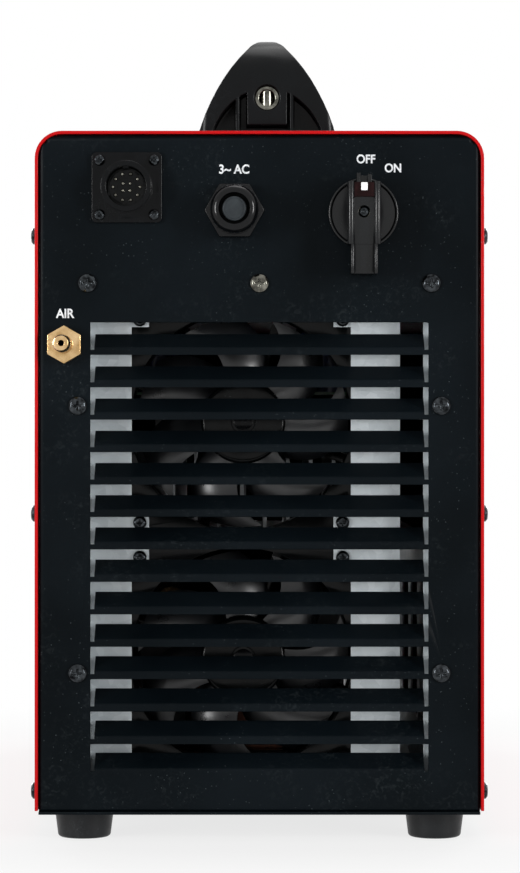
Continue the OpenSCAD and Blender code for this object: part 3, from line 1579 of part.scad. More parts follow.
cover_shell();
base_tray();
rear_panel();
front_panel();
top_shelf();
mid_deck();
fan_plate();
handle_body();
handle_bushes();
handle_screws();
feet();
foot_screws();
cover_screws();
panel_screws();
earth_screw();
fan_frame_upper();
fan_frame_lower();
fan_rotor_upper();
fan_rotor_lower();
fan_screws();
socket_shell();
socket_insert();
socket_contacts();
socket_screws();
gland_body();
gland_dome();
gland_plug();
switch_body();
switch_shaft();
switch_knob();
switch_mark();
switch_knob_screw();
air_inlet();
valve_body();
valve_coil();
air_hose_rear();
air_hose_front();
power_heatsink();
power_modules();
power_board();
bus_capacitors();
transformer_core();
transformer_winding();
output_reactor();
rectifier_heatsink();
control_board();
control_parts();
display_window();
front_board();
indicator_lamps();
current_knob();
dial_shaft();
current_pot();
rocker_frame();
mode_rocker();
button_frame();
test_button();
outlet_flanges();
torch_outlet();
earth_outlet();
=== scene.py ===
"""Looks of the plasma cutter unit: finishes for its packed construction, and the detail pieces round it.

The rear panel faces -Y and the control front faces +Y. Lengths are in metres; MM turns millimetres into them.
"""

import json
import logging
import math
from dataclasses import dataclass, field, replace
from enum import Enum

import bmesh
import bpy
from bmesh.types import BMesh, BMFace, BMVert
from bpy.types import Material, Node, NodeSocket, NodeTree, Object
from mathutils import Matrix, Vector


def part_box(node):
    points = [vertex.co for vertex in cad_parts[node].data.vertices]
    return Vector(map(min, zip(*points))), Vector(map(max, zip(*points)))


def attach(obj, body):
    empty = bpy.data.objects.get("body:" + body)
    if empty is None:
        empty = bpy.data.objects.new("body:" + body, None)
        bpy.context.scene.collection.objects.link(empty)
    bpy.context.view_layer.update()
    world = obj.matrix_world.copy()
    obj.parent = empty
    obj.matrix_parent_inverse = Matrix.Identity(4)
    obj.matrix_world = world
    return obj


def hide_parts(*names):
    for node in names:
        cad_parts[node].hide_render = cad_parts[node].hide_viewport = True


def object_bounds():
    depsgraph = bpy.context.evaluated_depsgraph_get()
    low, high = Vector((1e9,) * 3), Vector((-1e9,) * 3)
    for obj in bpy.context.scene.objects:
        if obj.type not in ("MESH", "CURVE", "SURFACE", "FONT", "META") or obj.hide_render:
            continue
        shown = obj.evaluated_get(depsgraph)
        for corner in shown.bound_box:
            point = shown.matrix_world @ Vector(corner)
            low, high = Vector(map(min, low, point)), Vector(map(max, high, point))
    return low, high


MM = 0.001
LOG = logging.getLogger("plasma_cutter")
HOUSING = "housing"
# a face shades flat when its area over its perimeter is larger than this
FLAT_FROM = 4 * MM
# the gap under printed marks, and their thickness
PRINT_GAP = 0.01 * MM
PRINT_DEPTH = 0.05 * MM

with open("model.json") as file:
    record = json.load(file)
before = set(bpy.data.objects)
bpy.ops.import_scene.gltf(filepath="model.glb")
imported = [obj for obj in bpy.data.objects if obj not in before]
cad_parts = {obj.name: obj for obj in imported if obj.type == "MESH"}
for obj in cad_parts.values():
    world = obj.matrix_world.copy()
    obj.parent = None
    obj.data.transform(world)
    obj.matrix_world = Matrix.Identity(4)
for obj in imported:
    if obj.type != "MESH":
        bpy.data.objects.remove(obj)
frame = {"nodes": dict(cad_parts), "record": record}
CAD_LOW, CAD_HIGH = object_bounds()
NODES: dict = frame["nodes"]
SLOTS: dict = {part["node"]: part["material_slot"] for part in frame["record"]["subparts"]}
BODIES: dict = frame["record"]["behaviour"]["bodies"]
BODY_OF: dict = {name: body for body, names in BODIES.items() for name in names}


class Side(Enum):
    """The face of the unit that a piece sits on, as the sign of its outward direction along Y."""

    REAR = -1
    FRONT = 1


class Pattern(Enum):
    """What breaks up a finish."""

    GRAIN = "grain"
    SPANGLE = "spangle"
    TURNED = "turned"
    WOUND = "wound"


# how turned and wound surfaces draw their grain out
STRETCH: dict[Pattern, tuple] = {Pattern.TURNED: (0.04, 1.0, 0.04), Pattern.WOUND: (0.02, 0.02, 1.0)}
# the zinc crystals of galvanised sheet, and their share in its tone
CRYSTAL_MM = 4.5
CRYSTAL_SHARE = 0.6
# the cells that can hold a speck of dust each, and the patches where dust gathers
SPECK_CELL_MM = 2.2
DUST_PATCH_MM = 35
# what a speck or a rub mark adds to the roughness
DULLING = 0.25


# ---------- colours and shader nodes ----------


def linear(code: str) -> tuple:
    """Turns an sRGB colour into Blender's linear one.

    Args:
        code: The colour as "#RRGGBB".

    Returns:
        Red, green, blue and an alpha of 1.
    """
    parts = [int(code[i : i + 2], 16) / 255 for i in (1, 3, 5)]
    return (*[p / 12.92 if p <= 0.04045 else ((p + 0.055) / 1.055) ** 2.4 for p in parts], 1.0)


def grey(value: float) -> tuple:
    """Returns a neutral linear colour of that value."""
    return (value, value, value, 1.0)


class Nodes:
    """Short ways to add to the node tree of a material or of the world."""

    def __init__(self, tree: NodeTree) -> None:
        """Works on that tree."""
        self.tree = tree

    def add(self, kind: str, inputs: dict | None = None, **settings) -> Node:
        """Adds one shader node.

        Args:
            kind: The node's Blender type, without "ShaderNode".
            inputs: Values or output sockets for the node's inputs, by name or number.
            **settings: Attributes of the node, such as operation.

        Returns:
            The new node.
        """
        made = self.tree.nodes.new("ShaderNode" + kind)
        for name, value in settings.items():
            setattr(made, name, value)
        for key, value in (inputs or {}).items():
            if isinstance(value, NodeSocket):
                self.tree.links.new(value, made.inputs[key])
            else:
                made.inputs[key].default_value = value
        return made

    def calc(self, operation: str, *values) -> NodeSocket:
        """Adds one Math node over the values or sockets and returns its output."""
        return self.add("Math", dict(enumerate(values)), operation=operation).outputs[0]

    def vector(self, operation: str, *values, output: str = "Vector") -> NodeSocket:
        """Adds one Vector Math node over the values or sockets and returns one of its outputs."""
        return self.add("VectorMath", dict(enumerate(values)), operation=operation).outputs[output]

    def spread(self, value: NodeSocket, low: float, high: float, to_low: float, to_high: float) -> NodeSocket:
        """Maps a value from low..high to to_low..to_high, held at the ends."""
        inputs = {"Value": value, "From Min": low, "From Max": high, "To Min": to_low, "To Max": to_high}
        return self.add("MapRange", inputs).outputs["Result"]

    def blend(self, factor: NodeSocket, first, second) -> NodeSocket:
        """Mixes two colours or colour sockets by a factor."""
        return self.add("Mix", {0: factor, 6: first, 7: second}, data_type="RGBA").outputs[2]

    def noise(self, place: NodeSocket, size_mm: float, detail: float = 3.0,
              distortion: float = 0.0) -> NodeSocket:
        """Returns a noise value whose patches are about size_mm across."""
        inputs = {"Vector": place, "Scale": 1 / (size_mm * MM), "Detail": detail, "Distortion": distortion}
        return self.add("TexNoise", inputs).outputs["Fac"]

    def cells(self, place: NodeSocket, size_mm: float, channel: int) -> tuple:
        """Returns the distance to the middle of scattered cells, and one random value of each cell."""
        inputs = {"Vector": place, "Scale": 1 / (size_mm * MM), "Randomness": 1.0}
        cell = self.add("TexVoronoi", inputs).outputs
        return cell["Distance"], self.add("SeparateColor", {0: cell["Color"]}).outputs[channel]

    def white_rays(self) -> NodeSocket:
        """Returns 1 for the camera, reflection and transmission rays, which see the white surround."""
        rays = self.add("LightPath").outputs
        seen = self.calc("MAXIMUM", rays["Is Camera Ray"], rays["Is Glossy Ray"])
        return self.calc("MAXIMUM", seen, rays["Is Transmission Ray"])


@dataclass(frozen=True)
class Finish:
    """A surface: its colours and gloss, and the patterns that break it up.

    grain_mm and grain_depth_mm size the fine relief, tone_mm the patches between the two colours. dust is the
    density of pale specks, and scuff the strength of dull rub marks that are scuff_mm long.
    """

    name: str
    colour: str
    dark: str
    roughness: float
    metallic: float = 0.0
    specular: float = 0.5
    coat: float = 0.0
    coat_roughness: float = 0.1
    grain_mm: float = 0.6
    grain_depth_mm: float = 0.02
    tone_mm: float = 40.0
    gloss_spread: float = 0.06
    dust: float = 0.0
    scuff: float = 0.0
    scuff_mm: float = 14.0
    pale: str = "#6F7476"
    pattern: Pattern = Pattern.GRAIN

    def material(self) -> Material:
        """Builds the material once and returns it afterwards."""
        known = bpy.data.materials.get(self.name)
        if known:
            return known
        made = bpy.data.materials.new(self.name)
        made.use_nodes = True
        shader = made.node_tree.nodes["Principled BSDF"]
        values = {"Metallic": self.metallic, "Coat Weight": self.coat, "Coat Roughness": self.coat_roughness}
        if not self.metallic:
            values["Specular IOR Level"] = self.specular
        for key, value in values.items():
            shader.inputs[key].default_value = value
        self.dress(Nodes(made.node_tree), shader)
        return made

    def dress(self, nodes: Nodes, shader: Node) -> None:
        """Links colour, roughness and relief into the Principled BSDF of a material."""
        place = nodes.add("TexCoord").outputs["Object"]
        tone = nodes.spread(nodes.noise(place, self.tone_mm, 4), 0.32, 0.68, 0, 1)
        if self.pattern is Pattern.SPANGLE:
            _, crystal = nodes.cells(place, CRYSTAL_MM, 0)
            rest = nodes.calc("MULTIPLY", tone, 1 - CRYSTAL_SHARE)
            tone = nodes.calc("MULTIPLY_ADD", crystal, CRYSTAL_SHARE, rest)
        colour = nodes.blend(tone, linear(self.dark), linear(self.colour))
        rough = nodes.spread(nodes.noise(place, self.tone_mm / 3, 5), 0.3, 0.7,
                             self.roughness - self.gloss_spread, self.roughness + self.gloss_spread)
        for mark in self.marks(nodes, place):
            colour = nodes.blend(mark, colour, linear(self.pale))
            rough = nodes.calc("MULTIPLY_ADD", mark, DULLING, rough)
        relief = self.relief(nodes, place)
        for name, value in (("Base Color", colour), ("Roughness", rough), ("Normal", relief)):
            nodes.tree.links.new(value, shader.inputs[name])

    def marks(self, nodes: Nodes, place: NodeSocket) -> list:
        """Returns the masks of the pale dust specks and rub marks that the finish has."""
        masks = []
        if self.dust:
            distance, chance = nodes.cells(place, SPECK_CELL_MM, 1)
            near = nodes.spread(distance, 0.05, 0.13, 1, 0)
            chosen = nodes.calc("GREATER_THAN", chance, 1 - self.dust)
            patch = nodes.spread(nodes.noise(place, DUST_PATCH_MM, 2), 0.42, 0.62, 0.05, 0.6)
            masks.append(nodes.calc("MULTIPLY", nodes.calc("MULTIPLY", near, chosen), patch))
        if self.scuff:
            patch = nodes.spread(nodes.noise(place, self.scuff_mm * 3, 2), 0.5, 0.75, 0, 1)
            thin = nodes.spread(nodes.noise(place, self.scuff_mm / 5, 6, 1.2), 0.52, 0.72, 0, self.scuff)
            masks.append(nodes.calc("MULTIPLY", patch, thin))
        return masks

    def relief(self, nodes: Nodes, place: NodeSocket) -> NodeSocket:
        """Returns the bumped normal of the fine grain, lines or layers."""
        if self.pattern in STRETCH:
            place = nodes.add("Mapping", {"Vector": place, "Scale": STRETCH[self.pattern]}).outputs["Vector"]
        height = nodes.noise(place, self.grain_mm)
        inputs = {"Height": height, "Distance": self.grain_depth_mm * MM, "Strength": 1.0}
        return nodes.add("Bump", inputs).outputs["Normal"]


RED_PAINT = Finish("red_gloss_enamel", "#B5060B", "#B0060B", 0.3, specular=0.12, coat=0.1,
                   grain_mm=2.0, grain_depth_mm=0.005, tone_mm=90, gloss_spread=0.03)
BLACK_PAINT = Finish("black_powder_coat", "#0A1014", "#03070A", 0.42, specular=0.055, grain_mm=0.45,
                     grain_depth_mm=0.035, tone_mm=75, dust=0.3, scuff=0.14, pale="#5A6265")
SOCKET_METAL = Finish("black_anodised_shell", "#08090B", "#040506", 0.2, specular=0.12, grain_mm=0.4,
                      grain_depth_mm=0.012, tone_mm=9, dust=0.15, scuff=0.12, scuff_mm=5, pale="#4A4E50")
GALVANISED = Finish("galvanised_sheet", "#DCE3E6", "#C2CACE", 0.5, metallic=0.12, grain_mm=1.0, tone_mm=14,
                    grain_depth_mm=0.01, gloss_spread=0.1, pattern=Pattern.SPANGLE)
# painted glints and wear: the colour swings between a light and a dark grey in patches about 3 mm across,
# which stand in for glints on the heads and pins as well as patchy wear of the plating
PLATED_WEAR_AND_PAINTED_GLINTS = Finish("zinc_plated_steel", "#85847B", "#3F3E39", 0.16, metallic=1.0, grain_mm=0.5, tone_mm=3,
                grain_depth_mm=0.01)
# painted glints and wear: the colour swings between a light and a dark grey in patches about 2 mm across,
# which stand in for glints on the heads as well as patchy wear of the plating
BLACK_ZINC_WEAR_AND_PAINTED_GLINTS = Finish("black_zinc_steel", "#43474A", "#0E0F10", 0.14, metallic=1.0, grain_mm=0.4, tone_mm=2.2,
                    grain_depth_mm=0.008)
BRASS = Finish("turned_brass", "#D9B98A", "#B08E5E", 0.24, metallic=1.0, grain_mm=0.35, grain_depth_mm=0.006,
               tone_mm=5, gloss_spread=0.1, pattern=Pattern.TURNED)
MOULDED = Finish("moulded_black_abs", "#0C0E10", "#060708", 0.22, specular=0.3, grain_mm=0.35,
                 grain_depth_mm=0.008, tone_mm=30, dust=0.12, scuff=0.1, pale="#50555A")
HANDLE_PLASTIC = Finish("handle_black_abs", "#090B0D", "#050607", 0.26, specular=0.13, grain_mm=0.4,
                        grain_depth_mm=0.015, tone_mm=45, dust=0.1, scuff=0.12, scuff_mm=20, pale="#50555A")
GLOSSY = Finish("glossy_black_pbt", "#060708", "#030404", 0.22, specular=0.14, grain_mm=1.5,
                grain_depth_mm=0.006, tone_mm=25, dust=0.1, pale="#4A4E50")
# painted sheen: the blades take a lighter copy of the glossy black, which stands in for the light that they
# catch
BLADE_PAINTED_SHEEN = replace(GLOSSY, name="fan_blade_pbt", colour="#14161A", dark="#0E1012", roughness=0.32, specular=0.9)
NYLON = Finish("black_nylon", "#08090B", "#050607", 0.18, specular=0.22, grain_mm=0.5, grain_depth_mm=0.012,
               tone_mm=12, dust=0.1, pale="#4A4E50")
WHITE_PLASTIC = Finish("white_plastic", "#F2F3F4", "#E2E3E4", 0.35, grain_mm=0.4, grain_depth_mm=0.006,
                       tone_mm=3)
PRINT = Finish("white_screen_print", "#E6E8EA", "#C4C7CA", 0.55, specular=0.2, grain_mm=0.3,
               grain_depth_mm=0.006, tone_mm=2)
RED_PLASTIC = Finish("red_button_plastic", "#A81512", "#8E0F0D", 0.3, specular=0.3, grain_mm=0.6, tone_mm=8)
RED_BROWN = Finish("red_brown_moulding", "#1E0A0B", "#120505", 0.35, specular=0.08, grain_mm=0.4,
                   grain_depth_mm=0.01, tone_mm=3)
GREEN_LENS = Finish("green_lamp_lens", "#2FA24A", "#23853B", 0.15, grain_mm=1.2, tone_mm=4)
DARK_LENS = Finish("dark_red_filter", "#2A0507", "#1C0304", 0.08, grain_mm=3, grain_depth_mm=0.003,
                   tone_mm=40)
DIGIT_RED = Finish("lit_red_segment", "#FF3B2E", "#E02418", 0.4, grain_mm=0.5, grain_depth_mm=0.002,
                   tone_mm=3)
RUBBER = Finish("black_rubber", "#141618", "#0D0E10", 0.42, specular=0.25, grain_mm=0.8, grain_depth_mm=0.03,
                tone_mm=10, dust=0.4, scuff=0.3, scuff_mm=8, pale="#5C6164")
# partly painted shade: a real seal, but its near-black, matte finish also stands in for the shade in the gap
# round the plug
SEAL_AND_PAINTED_GAP_SHADE = Finish("black_seal_rubber_and_gap_shade", "#060708", "#030404", 0.7, specular=0.05, grain_mm=0.6, tone_mm=4)
GREY_RUBBER = Finish("grey_rubber_plug", "#33383B", "#282C2F", 0.55, specular=0.15, grain_mm=0.6, tone_mm=6,
                     dust=0.2)
ALUMINIUM = Finish("extruded_aluminium", "#C9CCCF", "#B3B6BA", 0.38, metallic=1.0, grain_mm=0.8, tone_mm=14)
SOLDER_MASK = Finish("green_circuit_board", "#1A5A30", "#134724", 0.3, grain_mm=1.5, tone_mm=7)
SLEEVE = Finish("capacitor_sleeve", "#1E2A52", "#16203F", 0.25, grain_mm=2, tone_mm=15)
FERRITE = Finish("sintered_ferrite", "#3A3B3E", "#2C2D30", 0.55, grain_mm=0.7, grain_depth_mm=0.05, tone_mm=8)
COPPER_WIRE = Finish("enamelled_copper_wire", "#5E3018", "#3A1C0E", 0.3, metallic=0.6, grain_mm=1.6,
                     grain_depth_mm=0.3, tone_mm=6, pattern=Pattern.WOUND)
HOSE = Finish("blue_air_hose", "#1E4FA8", "#173F8A", 0.35, grain_mm=2, tone_mm=20)

NODE_FINISH: dict[Finish, tuple] = {
    RED_PAINT: ("cover_shell",),
    BLACK_PAINT: ("rear_panel", "front_panel", "base_tray"),
    SOCKET_METAL: ("socket_shell",),
    GALVANISED: ("fan_plate", "top_shelf", "mid_deck"),
    PLATED_WEAR_AND_PAINTED_GLINTS: ("handle_bushes", "handle_screws", "foot_screws", "earth_screw", "socket_contacts",
             "switch_shaft", "dial_shaft", "current_pot"),
    BLACK_ZINC_WEAR_AND_PAINTED_GLINTS: ("cover_screws", "panel_screws", "fan_screws", "socket_screws", "switch_knob_screw"),
    BRASS: ("air_inlet", "valve_body", "torch_outlet", "earth_outlet"),
    HANDLE_PLASTIC: ("handle_body",),
    MOULDED: ("switch_body", "switch_knob", "current_knob", "valve_coil", "power_modules", "control_parts",
              "outlet_flanges", "mode_rocker"),
    GLOSSY: ("fan_frame_upper", "fan_frame_lower", "fan_rotor_upper", "fan_rotor_lower", "rocker_frame",
             "button_frame", "socket_insert"),
    NYLON: ("gland_body", "gland_dome"),
    GREY_RUBBER: ("gland_plug",),
    WHITE_PLASTIC: ("switch_mark",),
    RED_PLASTIC: ("test_button",),
    GREEN_LENS: ("indicator_lamps",),
    DARK_LENS: ("display_window",),
    RUBBER: ("feet",),
    ALUMINIUM: ("power_heatsink", "rectifier_heatsink"),
    SOLDER_MASK: ("power_board", "control_board", "front_board"),
    SLEEVE: ("bus_capacitors",),
    FERRITE: ("transformer_core",),
    COPPER_WIRE: ("transformer_winding", "output_reactor"),
    HOSE: ("air_hose_rear", "air_hose_front"),
}
FINISH_OF: dict[str, Finish] = {name: finish for finish, names in NODE_FINISH.items() for name in names}


def dress_nodes() -> None:
    """Gives every node of the construction its finish."""
    for name, node in NODES.items():
        for slot in node.material_slots:
            slot.material = FINISH_OF[name].material()
    LOG.info("dressed %d nodes", len(NODES))


# ---------- building pieces ----------


def middle(node: str) -> Vector:
    """Returns the middle of a node's box."""
    low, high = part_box(node)
    return (low + high) / 2


def on_axis(node: str, y: float) -> Vector:
    """Returns the middle of a node's box, moved along Y to y."""
    spot = middle(node)
    return Vector((spot.x, y, spot.z))


def arc(centre: tuple, radius: float, start_deg: float, end_deg: float, steps: int) -> list:
    """Returns the points of a flat arc, both ends included."""
    turns = [math.radians(start_deg + (end_deg - start_deg) * i / steps) for i in range(steps + 1)]
    return [(centre[0] + radius * math.cos(t), centre[1] + radius * math.sin(t)) for t in turns]


def push(bm: BMesh, faces: list, depth: Vector) -> None:
    """Pushes flat faces along depth into a solid."""
    pushed = bmesh.ops.extrude_face_region(bm, geom=faces, use_keep_orig=True)["geom"]
    bmesh.ops.translate(bm, vec=depth, verts=[g for g in pushed if isinstance(g, BMVert)])


def bevel(bm: BMesh, edges: list, width: float, segments: int) -> None:
    """Rounds edges of a mesh in the making."""
    bmesh.ops.bevel(bm, geom=edges, offset=width, offset_type="OFFSET", segments=segments, profile=0.5,
                    affect="EDGES", clamp_overlap=False, loop_slide=False, material=-1)


class Shape:
    """A mesh in the making, in the unit's own frame."""

    weld = 1e-6
    node_weld = 2e-6
    flat_deg = 0.6

    def __init__(self) -> None:
        """Starts an empty mesh."""
        self.bm = bmesh.new()

    def copy_node(self, node: str) -> "Shape":
        """Starts from a welded copy of a node, with its flat faces whole."""
        self.bm.from_mesh(NODES[node].data)
        bmesh.ops.remove_doubles(self.bm, verts=self.bm.verts, dist=self.node_weld)
        bmesh.ops.dissolve_limit(self.bm, angle_limit=math.radians(self.flat_deg), verts=self.bm.verts,
                                 edges=self.bm.edges)
        return self

    def box(self, low: Vector, high: Vector) -> "Shape":
        """Adds a box between two corners."""
        made = bmesh.ops.create_cube(self.bm, size=1.0)["verts"]
        bmesh.ops.scale(self.bm, vec=high - low, verts=made)
        bmesh.ops.translate(self.bm, vec=(low + high) / 2, verts=made)
        return self

    def lathe(self, profile: list, centre: Vector, side: Side, steps: int = 64) -> "Shape":
        """Adds a turned form.

        Args:
            profile: Pairs of radius and height above the centre, in metres, from one end to the other.
            centre: The point on the axis where the height is 0.
            side: The way that the height runs along Y.
            steps: Facets round the form.

        Returns:
            The shape itself.
        """
        row = [centre + Vector((r, side.value * h, 0)) for r, h in profile]
        return self.spin(row, centre, (0, 1, 0), steps)

    def spin(self, row: list, centre: Vector, axis: tuple, steps: int) -> "Shape":
        """Turns a row of points once round an axis through centre."""
        dots = [self.bm.verts.new(point) for point in row]
        edges = [self.bm.edges.new(pair) for pair in zip(dots, dots[1:])]
        bmesh.ops.spin(self.bm, geom=dots + edges, cent=centre, axis=axis, angle=2 * math.pi, steps=steps,
                       use_merge=True)
        bmesh.ops.remove_doubles(self.bm, verts=self.bm.verts, dist=self.weld)
        return self

    def prism(self, outline: list, depth: Vector) -> "Shape":
        """Adds a flat outline of points, pushed along depth into a solid."""
        push(self.bm, [self.bm.faces.new([self.bm.verts.new(p) for p in outline])], depth)
        return self

    def plate(self, outline: list, hole: list, depth: Vector) -> "Shape":
        """Adds a flat outline with a hole in it, pushed along depth into a solid."""
        loops = []
        for points in (outline, hole):
            dots = [self.bm.verts.new(p) for p in points]
            loops += [self.bm.edges.new(pair) for pair in zip(dots, dots[1:] + dots[:1])]
        filled = bmesh.ops.triangle_fill(self.bm, edges=loops, use_beauty=True)["geom"]
        push(self.bm, [g for g in filled if isinstance(g, BMFace)], depth)
        return self

    def spoke(self, base: Vector, turn: float, reach: tuple, half: float, depth: float,
              side: Side = Side.REAR, taper: float = 1.0) -> "Shape":
        """Adds a block that stands out from an axis along Y.

        Args:
            base: Point on the axis where the block starts.
            turn: Its angle round the axis, in radians.
            reach: Distances of its foot and its top from the axis.
            half: Half its width at the foot.
            depth: Its length along Y.
            side: The side that the turn is seen from.
            taper: Share of the width that is left at the top.

        Returns:
            The shape itself.
        """
        mirror = -side.value
        out = Vector((mirror * math.cos(turn), 0, math.sin(turn)))
        across = Vector((-mirror * math.sin(turn), 0, math.cos(turn))) * half
        foot, top = [base + out * radius for radius in reach]
        outline = [foot - across, foot + across, top + across * taper, top - across * taper]
        return self.prism(outline, Vector((0, depth, 0)))

    def round_edges(self, width_mm: float, segments: int = 2, over_deg: float = 35.0) -> "Shape":
        """Rounds every edge whose faces turn by more than over_deg."""
        bmesh.ops.recalc_face_normals(self.bm, faces=self.bm.faces)
        limit = math.radians(over_deg)
        sharp = [e for e in self.bm.edges if len(e.link_faces) == 2 and e.calc_face_angle(0) > limit]
        bevel(self.bm, sharp, width_mm * MM, segments)
        return self

    def piece(self, name: str, finish: Finish, body: str = HOUSING, slot: str = "black_plastic",
              smooth_deg: float = 32.0, stands_for: tuple = ()) -> Object:
        """Ends the mesh as an object of its own.

        Args:
            name: The object's name.
            finish: Its finish.
            body: The body that it moves with.
            slot: The material slot of the record that it follows; it is not used.
            smooth_deg: Faces that turn by less than this shade as one.
            stands_for: Nodes of the construction that it replaces.

        Returns:
            The object.
        """
        bmesh.ops.recalc_face_normals(self.bm, faces=self.bm.faces)
        curved = [face.calc_area() < FLAT_FROM * face.calc_perimeter() for face in self.bm.faces]
        data = bpy.data.meshes.new(name)
        self.bm.to_mesh(data)
        self.bm.free()
        data.set_sharp_from_angle(angle=math.radians(smooth_deg))
        data.polygons.foreach_set("use_smooth", curved)
        data.materials.append(finish.material())
        made = bpy.data.objects.new(name, data)
        bpy.context.scene.collection.objects.link(made)
        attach(made, body)
        if stands_for:
            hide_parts(*stands_for)
        return made

    def piece_for(self, node: str) -> Object:
        """Ends the mesh as the piece that replaces a node, with the node's finish and body."""
        return self.piece(node + "_form", FINISH_OF[node], BODY_OF[node], SLOTS[node], stands_for=(node,))


def soften(node: str, width_mm: float = 0.3, segments: int = 2, over_deg: float = 35.0) -> Object:
    """Replaces a node by a copy with rounded edges and smooth curves.

    Args:
        node: The node's name.
        width_mm: Width of the rounding, or 0 for none.
        segments: Facets across the rounding.
        over_deg: Edges sharper than this are rounded.

    Returns:
        The new piece.
    """
    shape = Shape().copy_node(node)
    if width_mm:
        shape.round_edges(width_mm, segments, over_deg)
    return shape.piece_for(node)


def soften_each(settings: dict[str, tuple]) -> None:
    """Softens several nodes, each with the values that follow the name in soften."""
    for node, values in settings.items():
        soften(node, *values)


@dataclass(frozen=True)
class Label:
    """Printed words on a panel: centre and cap height in metres, on one side of the unit.

    cap_share is about the height of the font's capitals where its size is 1.
    """

    name: str
    words: str
    x: float
    z: float
    height: float
    side: Side = Side.REAR
    narrow: float = 0.9
    bold_mm: float = 0.17
    cap_share: float = 0.7
    weld: float = 1e-5

    def build(self, surface_y: float) -> Object:
        """Prints the words as a thin layer on the surface at surface_y."""
        font = bpy.data.curves.new(self.name, "FONT")
        font.body = self.words
        font.align_x = "CENTER"
        font.offset = self.bold_mm * MM / self.height * self.cap_share
        helper = bpy.data.objects.new(self.name + "_type", font)
        bpy.context.scene.collection.objects.link(helper)
        bpy.context.view_layer.update()
        mesh = bpy.data.meshes.new_from_object(helper.evaluated_get(bpy.context.evaluated_depsgraph_get()))
        bpy.data.objects.remove(helper)
        shape = Shape()
        shape.bm.from_mesh(mesh)
        bpy.data.meshes.remove(mesh)
        self.lay(shape, surface_y)
        return shape.piece(self.name, PRINT, slot="white_plastic")

    def lay(self, shape: Shape, surface_y: float) -> None:
        """Scales the flat letters, stands them on the surface and gives them thickness."""
        bm = shape.bm
        bmesh.ops.remove_doubles(bm, verts=bm.verts, dist=self.weld)
        bmesh.ops.delete(bm, geom=[v for v in bm.verts if not v.link_faces], context="VERTS")
        tops = [v.co.y for v in bm.verts]
        sides = [v.co.x for v in bm.verts]
        scale = self.height / (max(tops) - min(tops))
        shift = Vector((-(max(sides) + min(sides)) / 2, -(max(tops) + min(tops)) / 2, 0))
        out = self.side.value
        for v in bm.verts:
            flat = (v.co + shift) * scale
            v.co = Vector((self.x - out * flat.x * self.narrow, surface_y + out * PRINT_GAP, self.z + flat.y))
        push(bm, list(bm.faces), Vector((0, out * PRINT_DEPTH, 0)))


# ---------- the unit's assemblies ----------


@dataclass
class Cabinet:
    """Painted cover, end panels, tray and the sheet parts behind the louvres."""

    flat: float = 0.02 * MM
    rim_reach: float = 5 * MM
    rim_bend: float = 1.7 * MM
    louvre_min: float = 100 * MM
    louvre_bend: float = 0.5 * MM
    bend_over_deg: float = 30.0

    def build(self) -> None:
        """Rounds the edges and bends of the sheets."""
        soften_each({"cover_shell": (0.35, 3), "front_panel": (0.0,), "base_tray": (0.25,),
                     "fan_plate": (0.15,)})
        self.rear_panel()

    def rear_panel(self) -> None:
        """Rounds the bend round the rear panel, and the bends of its louvres."""
        low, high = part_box("rear_panel")
        shape = Shape().copy_node("rear_panel")
        bm = shape.bm
        bmesh.ops.recalc_face_normals(bm, faces=bm.faces)
        rim, louvres = [], []
        for edge in bm.edges:
            ends = [v.co for v in edge.verts]
            if any(e.y > low.y + self.flat for e in ends) or len(edge.link_faces) != 2:
                continue
            if edge.calc_face_angle(0) < math.radians(self.bend_over_deg):
                continue
            at = (ends[0] + ends[1]) / 2
            near = min(at.x - low.x, high.x - at.x, high.z - at.z, at.z - low.z)
            if near < self.rim_reach:
                rim.append(edge)
            elif abs(ends[0].z - ends[1].z) < self.flat and edge.calc_length() > self.louvre_min:
                louvres.append(edge)
        for edges, width in ((rim, self.rim_bend), (louvres, self.louvre_bend)):
            bevel(bm, edges, width, 4)
        shape.piece_for("rear_panel")


